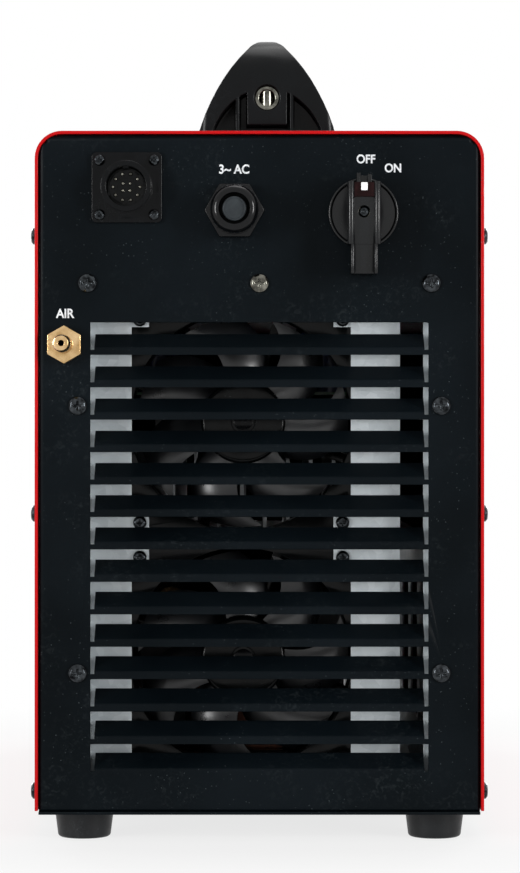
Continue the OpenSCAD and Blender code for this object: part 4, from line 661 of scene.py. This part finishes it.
@dataclass(frozen=True)
class Blade:
    """A swept, twisted fan blade: middle of its rotor, radius of its tip, and its angle in radians."""

    centre: Vector
    tip_radius: float
    turn: float
    root_radius: float = 22 * MM * 0.97
    root_pitch_deg: float = -24.0
    tip_pitch_deg: float = -13.0
    sweep_deg: float = 24.0
    chord_root_mm: float = 24.0
    chord_tip_mm: float = 33.0
    thick_mm: float = 1.6
    camber_mm: float = 2.2
    across: int = 14
    along: int = 10

    def point(self, r: float, s: float, face: int) -> Vector:
        """Returns a point of the blade.

        Args:
            r: Share of the way from the hub to the tip.
            s: Share of the chord, from -0.5 at the leading edge to 0.5 at the trailing one.
            face: -1 for the front face, 1 for the back face.

        Returns:
            The point in metres.
        """
        radius = self.root_radius + (self.tip_radius - self.root_radius) * r
        chord = (self.chord_root_mm + (self.chord_tip_mm - self.chord_root_mm) * r) * MM
        pitch = math.radians(self.root_pitch_deg + (self.tip_pitch_deg - self.root_pitch_deg) * r)
        bow = self.camber_mm * MM * (1 - 4 * s * s)
        thick = self.thick_mm * MM / 2 * math.sqrt(max(0.04, 1 - (2 * s) ** 2)) * (1.15 - 0.4 * r)
        off = bow + face * thick
        along = chord * s * math.cos(pitch) + off * math.sin(pitch)
        depth = chord * s * math.sin(pitch) - off * math.cos(pitch)
        angle = self.turn + math.radians(self.sweep_deg) * r * r + along / radius
        return self.centre + Vector((radius * math.cos(angle), depth, radius * math.sin(angle)))

    def grid(self, bm: BMesh, face: int) -> list:
        """Adds the points of one face, in rows from the hub to the tip."""
        return [[bm.verts.new(self.point(i / self.along, j / self.across - 0.5, face))
                 for j in range(self.across + 1)] for i in range(self.along + 1)]

    def build(self, bm: BMesh) -> None:
        """Adds the closed blade."""
        a, b = self.grid(bm, -1), self.grid(bm, 1)
        for grid, flip in ((a, False), (b, True)):
            for i in range(self.along):
                for j in range(self.across):
                    quad = [grid[i][j], grid[i + 1][j], grid[i + 1][j + 1], grid[i][j + 1]]
                    bm.faces.new(quad[::-1] if flip else quad)
        for i in range(self.along):
            bm.faces.new((a[i + 1][0], a[i][0], b[i][0], b[i + 1][0]))
            bm.faces.new((a[i][-1], a[i + 1][-1], b[i + 1][-1], b[i][-1]))
        for j in range(self.across):
            bm.faces.new((a[0][j], a[0][j + 1], b[0][j + 1], b[0][j]))
            bm.faces.new((a[-1][j + 1], a[-1][j], b[-1][j], b[-1][j + 1]))


@dataclass
class Fans:
    """Two axial fans: frames, and rotors with a hub and blades."""

    blades: int = 7
    start_deg: float = 33.6
    blade_depth: float = 15.5 * MM
    hub: float = 22 * MM
    hub_depth: float = 2 * MM
    hub_l: float = 25 * MM
    hub_round: float = 2.4 * MM
    hub_wall: float = 1.5 * MM
    shaft_r: float = 2 * MM
    shaft_l: float = 30 * MM
    smooth_deg: float = 40

    def rotor(self, level: str) -> None:
        """Builds one rotor in the place of its node."""
        node = f"fan_rotor_{level}"
        body, slot = BODY_OF[node], SLOTS[node]
        low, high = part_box(node)
        shape = Shape()
        for i in range(self.blades):
            turn = 2 * math.pi * i / self.blades + math.radians(self.start_deg)
            Blade(on_axis(node, low.y + self.blade_depth), (high.x - low.x) / 2, turn).build(shape.bm)
        shape.piece(f"blades_{level}", BLADE_PAINTED_SHEEN, body, slot, self.smooth_deg)
        hub, bend = self.hub, self.hub_round
        front = on_axis(node, low.y + self.hub_depth)
        profile = [(0, -0.3 * MM), (6 * MM, -0.3 * MM), (6.4 * MM, 0.2 * MM), (hub - 5 * MM, 0.2 * MM)]
        profile += [(hub - bend + x, 2.6 * MM - z) for x, z in arc((0, 0), bend, 90, 0, 6)]
        profile += [(hub, self.hub_l), (hub - self.hub_wall, self.hub_l), (hub - self.hub_wall, 4 * MM)]
        shape = Shape().lathe(profile + [(0, 4 * MM)], front, Side.FRONT, 72)
        shaft = [(0, 0), (self.shaft_r, 0), (self.shaft_r, self.shaft_l), (0, self.shaft_l)]
        shape.lathe(shaft, on_axis(node, high.y), Side.REAR, 24)
        shape.piece(f"rotor_{level}", GLOSSY, body, slot, self.smooth_deg, (node,))
        self.sticker(level, front + Vector((0, 0.3 * MM, 0)), body)

    @staticmethod
    def sticker(level: str, face: Vector, body: str) -> None:
        """Adds the small plain disc in the middle of a hub."""
        profile = [(0, 0.75 * MM), (4.6 * MM, 0.75 * MM), (5 * MM, 0.55 * MM), (5 * MM, 0), (0, 0)]
        shape = Shape().lathe(profile, face, Side.REAR, 36)
        shape.piece(f"hub_cap_{level}", SOCKET_METAL, body, "gloss_plastic")

    def build(self) -> None:
        """Builds both fans."""
        for level in ("upper", "lower"):
            soften(f"fan_frame_{level}", 0.2)
            self.rotor(level)
        soften("fan_screws", 0.2)


@dataclass
class ControlSocket:
    """Square-flanged socket for the control cable."""

    barrel_r: float = 13 * MM
    thread_starts_mm: tuple = (2.0, 4.2, 6.4)
    insert_rings_mm: tuple = (4.7, 9.2)
    ring_w_mm: float = 0.35
    keys: tuple = ((90, 3.0), (205, 1.8), (335, 1.8))
    key_reach: tuple = (9.3 * MM, 10.3 * MM)

    def build(self) -> None:
        """Rounds the socket and adds the rings of its barrel and insert, and its keys."""
        soften_each({"socket_shell": (0.4, 3), "socket_insert": (0.25,), "socket_contacts": (0.35, 3),
                     "socket_screws": (0.2,)})
        self.thread()
        self.rings()
        self.key()

    def thread(self) -> None:
        """Adds the coupling rings round the barrel."""
        mouth = on_axis("socket_insert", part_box("socket_shell")[0].y)
        inner, outer = self.barrel_r - 0.2 * MM, self.barrel_r + 0.35 * MM
        shape = Shape()
        for start in self.thread_starts_mm:
            ring = [(inner, start * MM), (outer, (start + 0.35) * MM), (outer, (start + 0.95) * MM),
                    (inner, (start + 1.3) * MM)]
            shape.lathe(ring + ring[:1], mouth, Side.FRONT, 72)
        shape.piece("socket_thread", SOCKET_METAL, slot=SLOTS["socket_shell"])

    def rings(self) -> None:
        """Adds the raised rings of the insulating insert."""
        face = on_axis("socket_insert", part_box("socket_insert")[0].y)
        width = self.ring_w_mm
        shape = Shape()
        for radius in self.insert_rings_mm:
            near, far = radius * MM, (radius + width) * MM
            ring = [(near, 0), (near, width * MM), (far, width * MM), (far, 0), (near, 0)]
            shape.lathe(ring, face, Side.REAR, 60)
        shape.piece("socket_insert_rings", GLOSSY, slot=SLOTS["socket_insert"])

    def key(self) -> None:
        """Adds the polarising bars along the wall of the mouth."""
        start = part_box("socket_shell")[0].y + 1.2 * MM
        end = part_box("socket_insert")[0].y + 0.5 * MM
        shape = Shape()
        for turn, width in self.keys:
            shape.spoke(on_axis("socket_insert", start), math.radians(turn), self.key_reach, width * MM / 2,
                        end - start)
        shape.round_edges(0.15)
        shape.piece("socket_keys", SOCKET_METAL, slot=SLOTS["socket_shell"])


@dataclass
class CableGland:
    """Gland for the mains cable, closed with a plug."""

    rib_count: int = 24
    rib_half: float = 0.7 * MM
    rib_taper: float = 0.4
    plug_mm: float = 6.25
    washer_r: float = 13.3 * MM
    washer_bore_r: float = 11 * MM
    seal_sink: float = 2.2 * MM

    def build(self) -> None:
        """Rounds the gland and adds its plug, the washer behind it and the ribs of its nut."""
        soften_each({"gland_body": (0.7, 3), "gland_dome": (0.25,)})
        self.plug()
        self.washer()
        self.ribs()

    def washer(self) -> None:
        """Adds the sealing washer between the hexagon and the panel."""
        centre = on_axis("gland_dome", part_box("rear_panel")[0].y)
        bore, half = self.washer_bore_r, self.washer_r
        ring = [(bore, 0.05 * MM), (half, 0.05 * MM), (half, 0.9 * MM), (half - 0.4 * MM, 1.3 * MM),
                (bore, 1.3 * MM)]
        shape = Shape().lathe(ring + ring[:1], centre, Side.REAR, 64)
        shape.piece("gland_washer", RUBBER, slot="rubber")

    def plug(self) -> None:
        """Turns the plug, and the sunk near-black ring that it sits in: a seal whose dark matte finish is
        also painted shade of the gap.
        """
        low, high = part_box("gland_plug")
        front = on_axis("gland_plug", low.y)
        deep = high.y - low.y
        r, seal_r = self.plug_mm * MM, (high.x - low.x) / 2 - 0.05 * MM
        dish = r - 1.3 * MM
        face = [(0, -0.7 * MM), (dish, -0.7 * MM), (dish + 0.5 * MM, -0.15 * MM), (r - 0.5 * MM, 0),
                (r - 0.15 * MM, -0.15 * MM), (r, -0.5 * MM), (r, -deep), (0, -deep)]
        shape = Shape().lathe(face, front, Side.REAR, 56)
        shape.piece_for("gland_plug")
        bore, sink = r + 0.05 * MM, -self.seal_sink
        ring = [(bore, sink), (seal_r, sink), (seal_r, -deep), (bore, -deep)]
        shape = Shape().lathe(ring + ring[:1], front, Side.REAR, 56)
        shape.piece("gland_seal_and_gap_shade", SEAL_AND_PAINTED_GAP_SHADE, slot="rubber")

    def ribs(self) -> None:
        """Adds the grip ribs round the dome nut."""
        low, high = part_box("gland_dome")
        radius = (high.x - low.x) / 2
        base = on_axis("gland_dome", low.y + 5 * MM)
        shape = Shape()
        for i in range(self.rib_count):
            shape.spoke(base, 2 * math.pi * i / self.rib_count, (radius - 0.4 * MM, radius + 0.45 * MM),
                        self.rib_half, high.y - low.y - 6 * MM, taper=self.rib_taper)
        shape.round_edges(0.15, 1)
        shape.piece("gland_ribs", NYLON, slot=SLOTS["gland_dome"])


@dataclass
class PowerSwitch:
    """Rotary mains switch and its knob: a lipped skirt, and a grooved bar with two rounded walls and a tail.

    Heights are measured from the knob's back. Each cap box is its left, right, upper end and height.
    """

    skirt_mm: float = 17.9
    lip_mm: float = 1.5
    skirt_h_mm: float = 8.0
    bar_half_mm: float = 8.35
    tail_half_mm: float = 6.85
    channel_half_mm: float = 5.0
    floor_h_mm: float = 17.0
    tail_drop_mm: float = 0.9
    head_up_mm: float = 15.2
    step_down_mm: float = 16.6
    recess_r_mm: float = 3.1
    bar_foot_mm: float = 6.0
    tail_foot_mm: float = 1.0
    cap_boxes_mm: tuple = ((-3.8, 3.8, 18.4, 14.5), (-3.8, -1.9, 19.5, 17.0), (1.9, 3.8, 18.9, 17.0))
    base: Vector = field(init=False)
    tall_mm: float = field(init=False)
    foot_z_mm: float = field(init=False)

    def __post_init__(self) -> None:
        """Reads the knob's place and reach from its node."""
        low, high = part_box("switch_knob")
        self.base = on_axis("switch_shaft", high.y)
        self.tall_mm = (high.y - low.y) / MM
        self.foot_z_mm = (low.z - self.base.z) / MM

    def build(self) -> None:
        """Builds the knob and dresses its screw and mark."""
        shape = Shape()
        self.skirt(shape)
        self.floor(shape)
        self.walls(shape)
        self.cap(shape)
        shape.round_edges(0.22, 2, 40)
        shape.piece_for("switch_knob")
        soften_each({"switch_mark": (0.2,), "switch_knob_screw": (0.2,)})
        self.insert()

    def at(self, x: float, height: float, z: float) -> Vector:
        """Returns the point that lies x and z mm from the axis and height mm above the knob's back."""
        return self.base + Vector((x, -height, z)) * MM

    def skirt(self, shape: Shape) -> None:
        """Turns the skirt with its raised lip."""
        r, lip, h, bore = self.skirt_mm, self.lip_mm, self.skirt_h_mm, self.recess_r_mm
        dots = [(bore, 0), (r - 0.8, 0), (r, 0.8), (r, h - lip)]
        dots += arc((r - lip / 2, h - lip), lip / 2, 0, 180, 8)[1:]
        dots += [(r - lip - 0.4, h - lip - 0.3), (bore, h - lip - 0.3), (bore, 0)]
        shape.lathe([(x * MM, y * MM) for x, y in dots], self.base, Side.REAR, 96)

    def floor(self, shape: Shape) -> None:
        """Adds the floor of the channel, pierced for the screw, and the sloping floor of the tail."""
        half, up, down = self.bar_half_mm - 1.2, self.head_up_mm - 0.2, -self.step_down_mm
        top = self.floor_h_mm
        corners = [self.at(x, top, z) for x, z in ((-half, down), (half, down), (half, up), (-half, up))]
        hole = [self.at(x, top, z) for x, z in arc((0, 0), self.recess_r_mm, 0, 345, 23)]
        shape.plate(corners, hole, Vector((0, (top - self.bar_foot_mm) * MM, 0)))
        half, end = self.tail_half_mm - 0.8, self.foot_z_mm + 0.1
        foot = self.tail_foot_mm
        section = ((self.bar_foot_mm, down), (top, down), (top - self.tail_drop_mm, end), (foot, end),
                   (foot, down))
        outline = [self.at(-half, h, z) for h, z in section]
        shape.prism(outline, Vector((2 * half * MM, 0, 0)))

    def walls(self, shape: Shape) -> None:
        """Adds the rounded walls of the bar and its tail."""
        inner = self.channel_half_mm
        step = -self.step_down_mm
        for outer, foot, start, end in ((self.bar_half_mm, self.bar_foot_mm, step, self.head_up_mm),
                                        (self.tail_half_mm, self.tail_foot_mm, self.foot_z_mm, step)):
            r = (outer - inner) / 2
            for side in (-1, 1):
                top = arc((side * (outer + inner) / 2, self.tall_mm - r), r, 180, 0, 10)
                section = [(top[0][0], foot)] + top + [(top[-1][0], foot)]
                outline = [self.at(x, h, start) for x, h in section]
                shape.prism(outline, Vector((0, 0, (end - start) * MM)))

    def cap(self, shape: Shape) -> None:
        """Adds the two-eared cap above the head of the bar."""
        for x1, x2, z, h in self.cap_boxes_mm:
            shape.box(self.at(x1, h, 10.8), self.at(x2, 6.5, z))

    def insert(self) -> None:
        """Adds the red-brown block that holds the white mark, at the head of the knob."""
        half = self.channel_half_mm + 0.7
        block = Shape().box(self.at(-half, 18.9, 7.4), self.at(half, 10, self.head_up_mm - 0.4))
        block.round_edges(0.3)
        block.piece("switch_mark_block", RED_BROWN, BODY_OF["switch_knob"])


@dataclass
class AirInlet:
    """Brass hose tail for the compressed air."""

    def build(self) -> None:
        """Rounds the inlet."""
        soften("air_inlet", 0.35, 3, 32)


@dataclass
class Handle:
    """Moulded carrying handle with its bushes."""

    pin_r: float = 3.7 * MM
    pin_reach: float = 4.8 * MM
    pin_sink: float = 0.5 * MM

    def build(self) -> None:
        """Rounds the handle and its metal parts."""
        soften_each({"handle_body": (0.7, 3, 38), "handle_bushes": (0.5, 3), "handle_screws": (0.25,)})
        self.pins()

    def pins(self) -> None:
        """Adds the upright plated pin that shows in the mouth of each bush."""
        low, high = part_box("handle_bushes")
        spot = middle("handle_bushes")
        r, reach = self.pin_r, self.pin_reach
        shape = Shape()
        for y in (low.y + self.pin_sink + r, high.y - self.pin_sink - r):
            outline = [Vector((x, depth, spot.z - reach)) for x, depth in arc((spot.x, y), r, 0, 350, 35)]
            shape.prism(outline, Vector((0, 0, 2 * reach)))
        shape.piece("bush_pins", PLATED_WEAR_AND_PAINTED_GLINTS, slot=SLOTS["handle_bushes"])


@dataclass
class Feet:
    """Four turned rubber feet."""

    edge: float = 1.8 * MM
    recess_r: float = 6 * MM
    recess_h: float = 4 * MM
    bore_r: float = 2.6 * MM
    draft: float = 2 * MM

    def build(self) -> None:
        """Turns all four feet in one piece."""
        low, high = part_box("feet")
        top_r = self.top_radius()
        shape = Shape()
        for x in (low.x + top_r, high.x - top_r):
            for y in (low.y + top_r, high.y - top_r):
                self.foot(shape, Vector((x, y, 0)), top_r, high.z)
        shape.piece("rubber_feet", RUBBER, slot=SLOTS["feet"], stands_for=("feet",))
        soften("foot_screws", 0.2)

    @staticmethod
    def top_radius() -> float:
        """Returns the radius of a foot where it meets the tray, read from its node."""
        low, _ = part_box("feet")
        near = [v.co.x for v in NODES["feet"].data.vertices if v.co.x < 0]
        return (max(near) - low.x) / 2

    def foot(self, shape: Shape, base: Vector, top_r: float, height: float) -> None:
        """Adds one foot that stands on the floor."""
        e, hole, roof, bore = self.edge, self.recess_r, self.recess_h, self.bore_r
        wall = arc((top_r - self.draft - e, e), e, -90, 0, 6)
        rim = [(top_r - 0.6 * MM, height - 1.2 * MM), (top_r, height - 0.6 * MM), (top_r - 0.3 * MM, height)]
        profile = [(bore, roof), (hole, roof), (hole, 0.4 * MM), (hole + 0.4 * MM, 0)] + wall + rim
        profile += [(bore, height), (bore, roof)]
        shape.spin([base + Vector((r, 0, h)) for r, h in profile], base, (0, 0, 1), 56)


@dataclass
class Screws:
    """Pan-head screws of the panels and the cover."""

    groups: tuple = ("panel_screws", "cover_screws", "earth_screw")

    def build(self) -> None:
        """Rounds the heads."""
        for name in self.groups:
            soften(name, 0.3, 3)


@dataclass
class Markings:
    """Printed words and scales.

    The dial's scale starts where the knob's line stands at rest, and follows its turn.
    """

    scale_from_deg: float = 90.0
    scale_sweep_deg: float = 270.0
    ticks: int = 17
    tick_from: float = 22 * MM
    tick_short: float = 24.4 * MM
    tick_long: float = 26 * MM
    tick_half: float = 0.3 * MM
    numbers: tuple = (20, 40, 60, 80, 100)
    number_radius: float = 31 * MM
    number_h: float = 4.2 * MM
    switch_h: float = 4.6 * MM
    mark_h: float = 4.8 * MM
    name_h: float = 4.0 * MM

    def rear(self) -> None:
        """Prints the rear panel."""
        low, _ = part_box("rear_panel")
        for name, words, node, right_mm, up_mm, height in (
            ("label_off", "OFF", "switch_shaft", 1.5, 28.2, self.switch_h),
            ("label_on", "ON", "switch_shaft", 15.3, 23.6, self.switch_h),
            ("label_mains", "3~ AC", "gland_plug", -0.2, 21.4, self.mark_h),
            ("label_air", "AIR", "air_hose_rear", 0.2, 16.1, self.mark_h),
        ):
            at = middle(node)
            Label(name, words, at.x + right_mm * MM, at.z + up_mm * MM, height).build(low.y)

    def front(self) -> None:
        """Prints the dial's scale and the names of the controls on the front panel."""
        _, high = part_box("front_panel")
        dial = middle("current_knob")
        for i, number in enumerate(self.numbers):
            turn = self.turn(i, len(self.numbers))
            x, z = dial.x - self.number_radius * math.cos(turn), dial.z + self.number_radius * math.sin(turn)
            Label(f"dial_{number}", str(number), x, z, self.number_h, Side.FRONT).build(high.y)
        for name, words, node, up_mm in (
            ("label_torch", "TORCH", "torch_outlet", 30),
            ("label_work", "WORK", "earth_outlet", 30),
            ("label_mode", "2T / 4T", "mode_rocker", 20),
            ("label_test", "AIR TEST", "test_button", 20),
        ):
            at = middle(node)
            Label(name, words, at.x, at.z + up_mm * MM, self.name_h, Side.FRONT).build(high.y)
        self.scale(on_axis("current_knob", high.y + PRINT_GAP))

    def turn(self, i: int, count: int) -> float:
        """Returns the angle of mark number i, of count marks spread over the dial's travel."""
        return math.radians(self.scale_from_deg - self.scale_sweep_deg / (count - 1) * i)

    def scale(self, base: Vector) -> None:
        """Adds the tick marks round the dial, a long one at each number."""
        step = (self.ticks - 1) // (len(self.numbers) - 1)
        shape = Shape()
        for i in range(self.ticks):
            reach = (self.tick_from, self.tick_short if i % step else self.tick_long)
            shape.spoke(base, self.turn(i, self.ticks), reach, self.tick_half, PRINT_DEPTH, Side.FRONT)
        shape.piece("dial_ticks", PRINT, slot="white_plastic")


@dataclass
class FrontPanel:
    """Display, lamps, dial, rocker, button and output connectors."""

    digits: str = "020"
    digit_h_mm: float = 17.0
    digit_pitch: float = 0.85
    digit_depth: float = 0.04 * MM
    bar_gap: float = 0.5 * MM

    def build(self) -> None:
        """Rounds the front fittings and adds the digits of the display."""
        soften_each({
            "current_knob": (0.4,), "mode_rocker": (0.4, 3, 20), "rocker_frame": (0.4,),
            "test_button": (0.8, 3), "button_frame": (0.4,), "indicator_lamps": (0.6, 3, 25),
            "outlet_flanges": (0.8, 3), "torch_outlet": (0.5, 3), "earth_outlet": (0.6, 3),
            "display_window": (0.6, 3),
        })
        self.display()

    def display(self) -> None:
        """Adds the seven-segment digits on the display window."""
        centre = on_axis("display_window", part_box("display_window")[1].y)
        height = self.digit_h_mm * MM
        pitch = height * self.digit_pitch
        shape = Shape()
        for i, digit in enumerate(self.digits):
            shift = pitch * ((len(self.digits) - 1) / 2 - i)
            self.digit(shape, digit, centre + Vector((shift, 0, 0)), height)
        shape.piece("display_digits", DIGIT_RED, slot="dark_lens")

    def digit(self, shape: Shape, value: str, centre: Vector, height: float) -> None:
        """Adds one digit out of bars."""
        lit = {"0": "abcdef", "2": "abdeg"}[value]
        half, w, t = height / 2, height * 0.26, height * 0.055
        bars = {
            "a": (0, half, True), "g": (0, 0, True), "d": (0, -half, True),
            "f": (w, half / 2, False), "b": (-w, half / 2, False),
            "e": (w, -half / 2, False), "c": (-w, -half / 2, False),
        }
        for key in lit:
            x, z, flat = bars[key]
            size = Vector((w - self.bar_gap, 0, t)) if flat else Vector((t, 0, half / 2 - self.bar_gap))
            spot = centre + Vector((x, PRINT_GAP, z))
            shape.box(spot - size, spot + size + Vector((0, self.digit_depth, 0)))


# ---------- studio ----------


@dataclass(frozen=True)
class Lamp:
    """A soft area lamp: place, width and height in metres, power in watts."""

    name: str
    place: tuple
    width: float
    height: float
    power: float

    def hang(self, target: Vector) -> None:
        """Hangs the lamp, turned to the target."""
        data = bpy.data.lights.new(self.name, "AREA")
        data.shape = "RECTANGLE"
        data.size, data.size_y = self.width, self.height
        data.energy = self.power
        made = bpy.data.objects.new(self.name, data)
        made.location = self.place
        made.rotation_euler = (target - Vector(self.place)).to_track_quat("-Z", "Y").to_euler()
        bpy.context.scene.collection.objects.link(made)


@dataclass
class Studio:
    """Camera, pale floor, white surround and soft lamps."""

    distance: float = 1.5
    lens_mm: float = 120.9
    sensor_mm: float = 36.0
    aim_x: float = 0.3 * MM
    aim_z: float = 207.6 * MM
    floor_r: float = 2.5
    fill: float = 0.22
    fade: float = 0.24
    shade_white: float = 0.78
    floor_grey: float = 0.88
    floor_roughness: float = 0.75
    floor_gap: float = 0.2 * MM
    lamps: tuple = (
        Lamp("key_right", (1.7, -1.65, 0.55), 0.35, 0.9, 34.0),
        Lamp("key_left", (-1.7, -1.7, 0.5), 0.35, 0.9, 32.0),
        Lamp("top_soft", (0.2, 0.3, 1.9), 1.0, 1.0, 7.0),
        Lamp("side_right", (1.8, 0.9, 0.9), 0.7, 0.9, 3.0),
        Lamp("side_left", (-1.8, 0.9, 0.9), 0.7, 0.9, 3.0),
        Lamp("front_left", (-1.0, 2.0, 0.7), 0.6, 1.0, 18.0),
        Lamp("front_right", (1.1, 2.0, 0.8), 0.6, 1.0, 18.0),
    )

    def camera(self) -> None:
        """Stands the camera square to the rear panel."""
        data = bpy.data.cameras.new("view")
        data.lens = self.lens_mm
        data.sensor_width = self.sensor_mm
        made = bpy.data.objects.new("view", data)
        made.location = (self.aim_x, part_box("rear_panel")[0].y - self.distance, self.aim_z)
        made.rotation_euler = (math.pi / 2, 0, 0)
        bpy.context.scene.collection.objects.link(made)
        bpy.context.scene.camera = made

    def world(self) -> None:
        """Makes the surround white to look at and in reflections, and a soft grey to light by."""
        made = bpy.data.worlds.new("surround")
        made.use_nodes = True
        made.node_tree.nodes.clear()
        nodes = Nodes(made.node_tree)
        strength = nodes.add("Mix", {0: nodes.white_rays(), 2: self.fill, 3: 1.0}).outputs[0]
        sky = nodes.add("Background", {"Color": grey(1.0), "Strength": strength}).outputs[0]
        nodes.add("OutputWorld", {"Surface": sky})
        bpy.context.scene.world = made

    def floor(self) -> None:
        """Lays a round pale floor just under the feet that fades into the white surround."""
        bm = bmesh.new()
        bmesh.ops.create_circle(bm, cap_ends=True, segments=96, radius=self.floor_r)
        bmesh.ops.translate(bm, verts=bm.verts, vec=(0, 0, CAD_LOW.z - self.floor_gap))
        data = bpy.data.meshes.new("floor")
        bm.to_mesh(data)
        bm.free()
        data.materials.append(self.floor_material())
        made = bpy.data.objects.new("floor", data)
        bpy.context.scene.collection.objects.link(made)

    def floor_material(self) -> Material:
        """Returns the floor's finish: pale, with a light shadow near the unit and white farther out."""
        made = bpy.data.materials.new("pale_floor")
        made.use_nodes = True
        nodes = Nodes(made.node_tree)
        shader = made.node_tree.nodes["Principled BSDF"]
        shader.inputs["Base Color"].default_value = grey(self.floor_grey)
        shader.inputs["Roughness"].default_value = self.floor_roughness
        half = (CAD_HIGH - CAD_LOW) / 2
        place = nodes.vector("ABSOLUTE", nodes.add("TexCoord").outputs["Object"])
        outside = nodes.vector("MAXIMUM", nodes.vector("SUBTRACT", place, (half.x, half.y, 1)), (0, 0, 0))
        reach = nodes.vector("LENGTH", outside, output="Value")
        white = nodes.spread(reach, 0.0, self.fade, self.shade_white, 1)
        seen = nodes.calc("MULTIPLY", white, nodes.white_rays())
        glow = nodes.add("Emission", {"Color": grey(1.0), "Strength": 1.0}).outputs[0]
        mixed = nodes.add("MixShader", {0: seen, 1: shader.outputs[0], 2: glow}).outputs[0]
        nodes.tree.links.new(mixed, nodes.tree.nodes["Material Output"].inputs["Surface"])
        return made

    def build(self) -> None:
        """Sets up the whole studio."""
        self.camera()
        for lamp in self.lamps:
            lamp.hang((CAD_LOW + CAD_HIGH) / 2)
        self.world()
        self.floor()
        bpy.context.scene.view_settings.view_transform = "Standard"


def main() -> None:
    """Builds the studio, the finishes and the pieces, in that order."""
    logging.basicConfig(level=logging.INFO, format="%(message)s")
    Studio().build()
    dress_nodes()
    for assembly in (Cabinet, Fans, ControlSocket, CableGland, PowerSwitch, AirInlet, Handle, Feet, Screws,
                     FrontPanel):
        assembly().build()
        LOG.info("built %s", assembly.__name__)
    markings = Markings()
    markings.rear()
    markings.front()


if __name__ == "__main__":
    main()
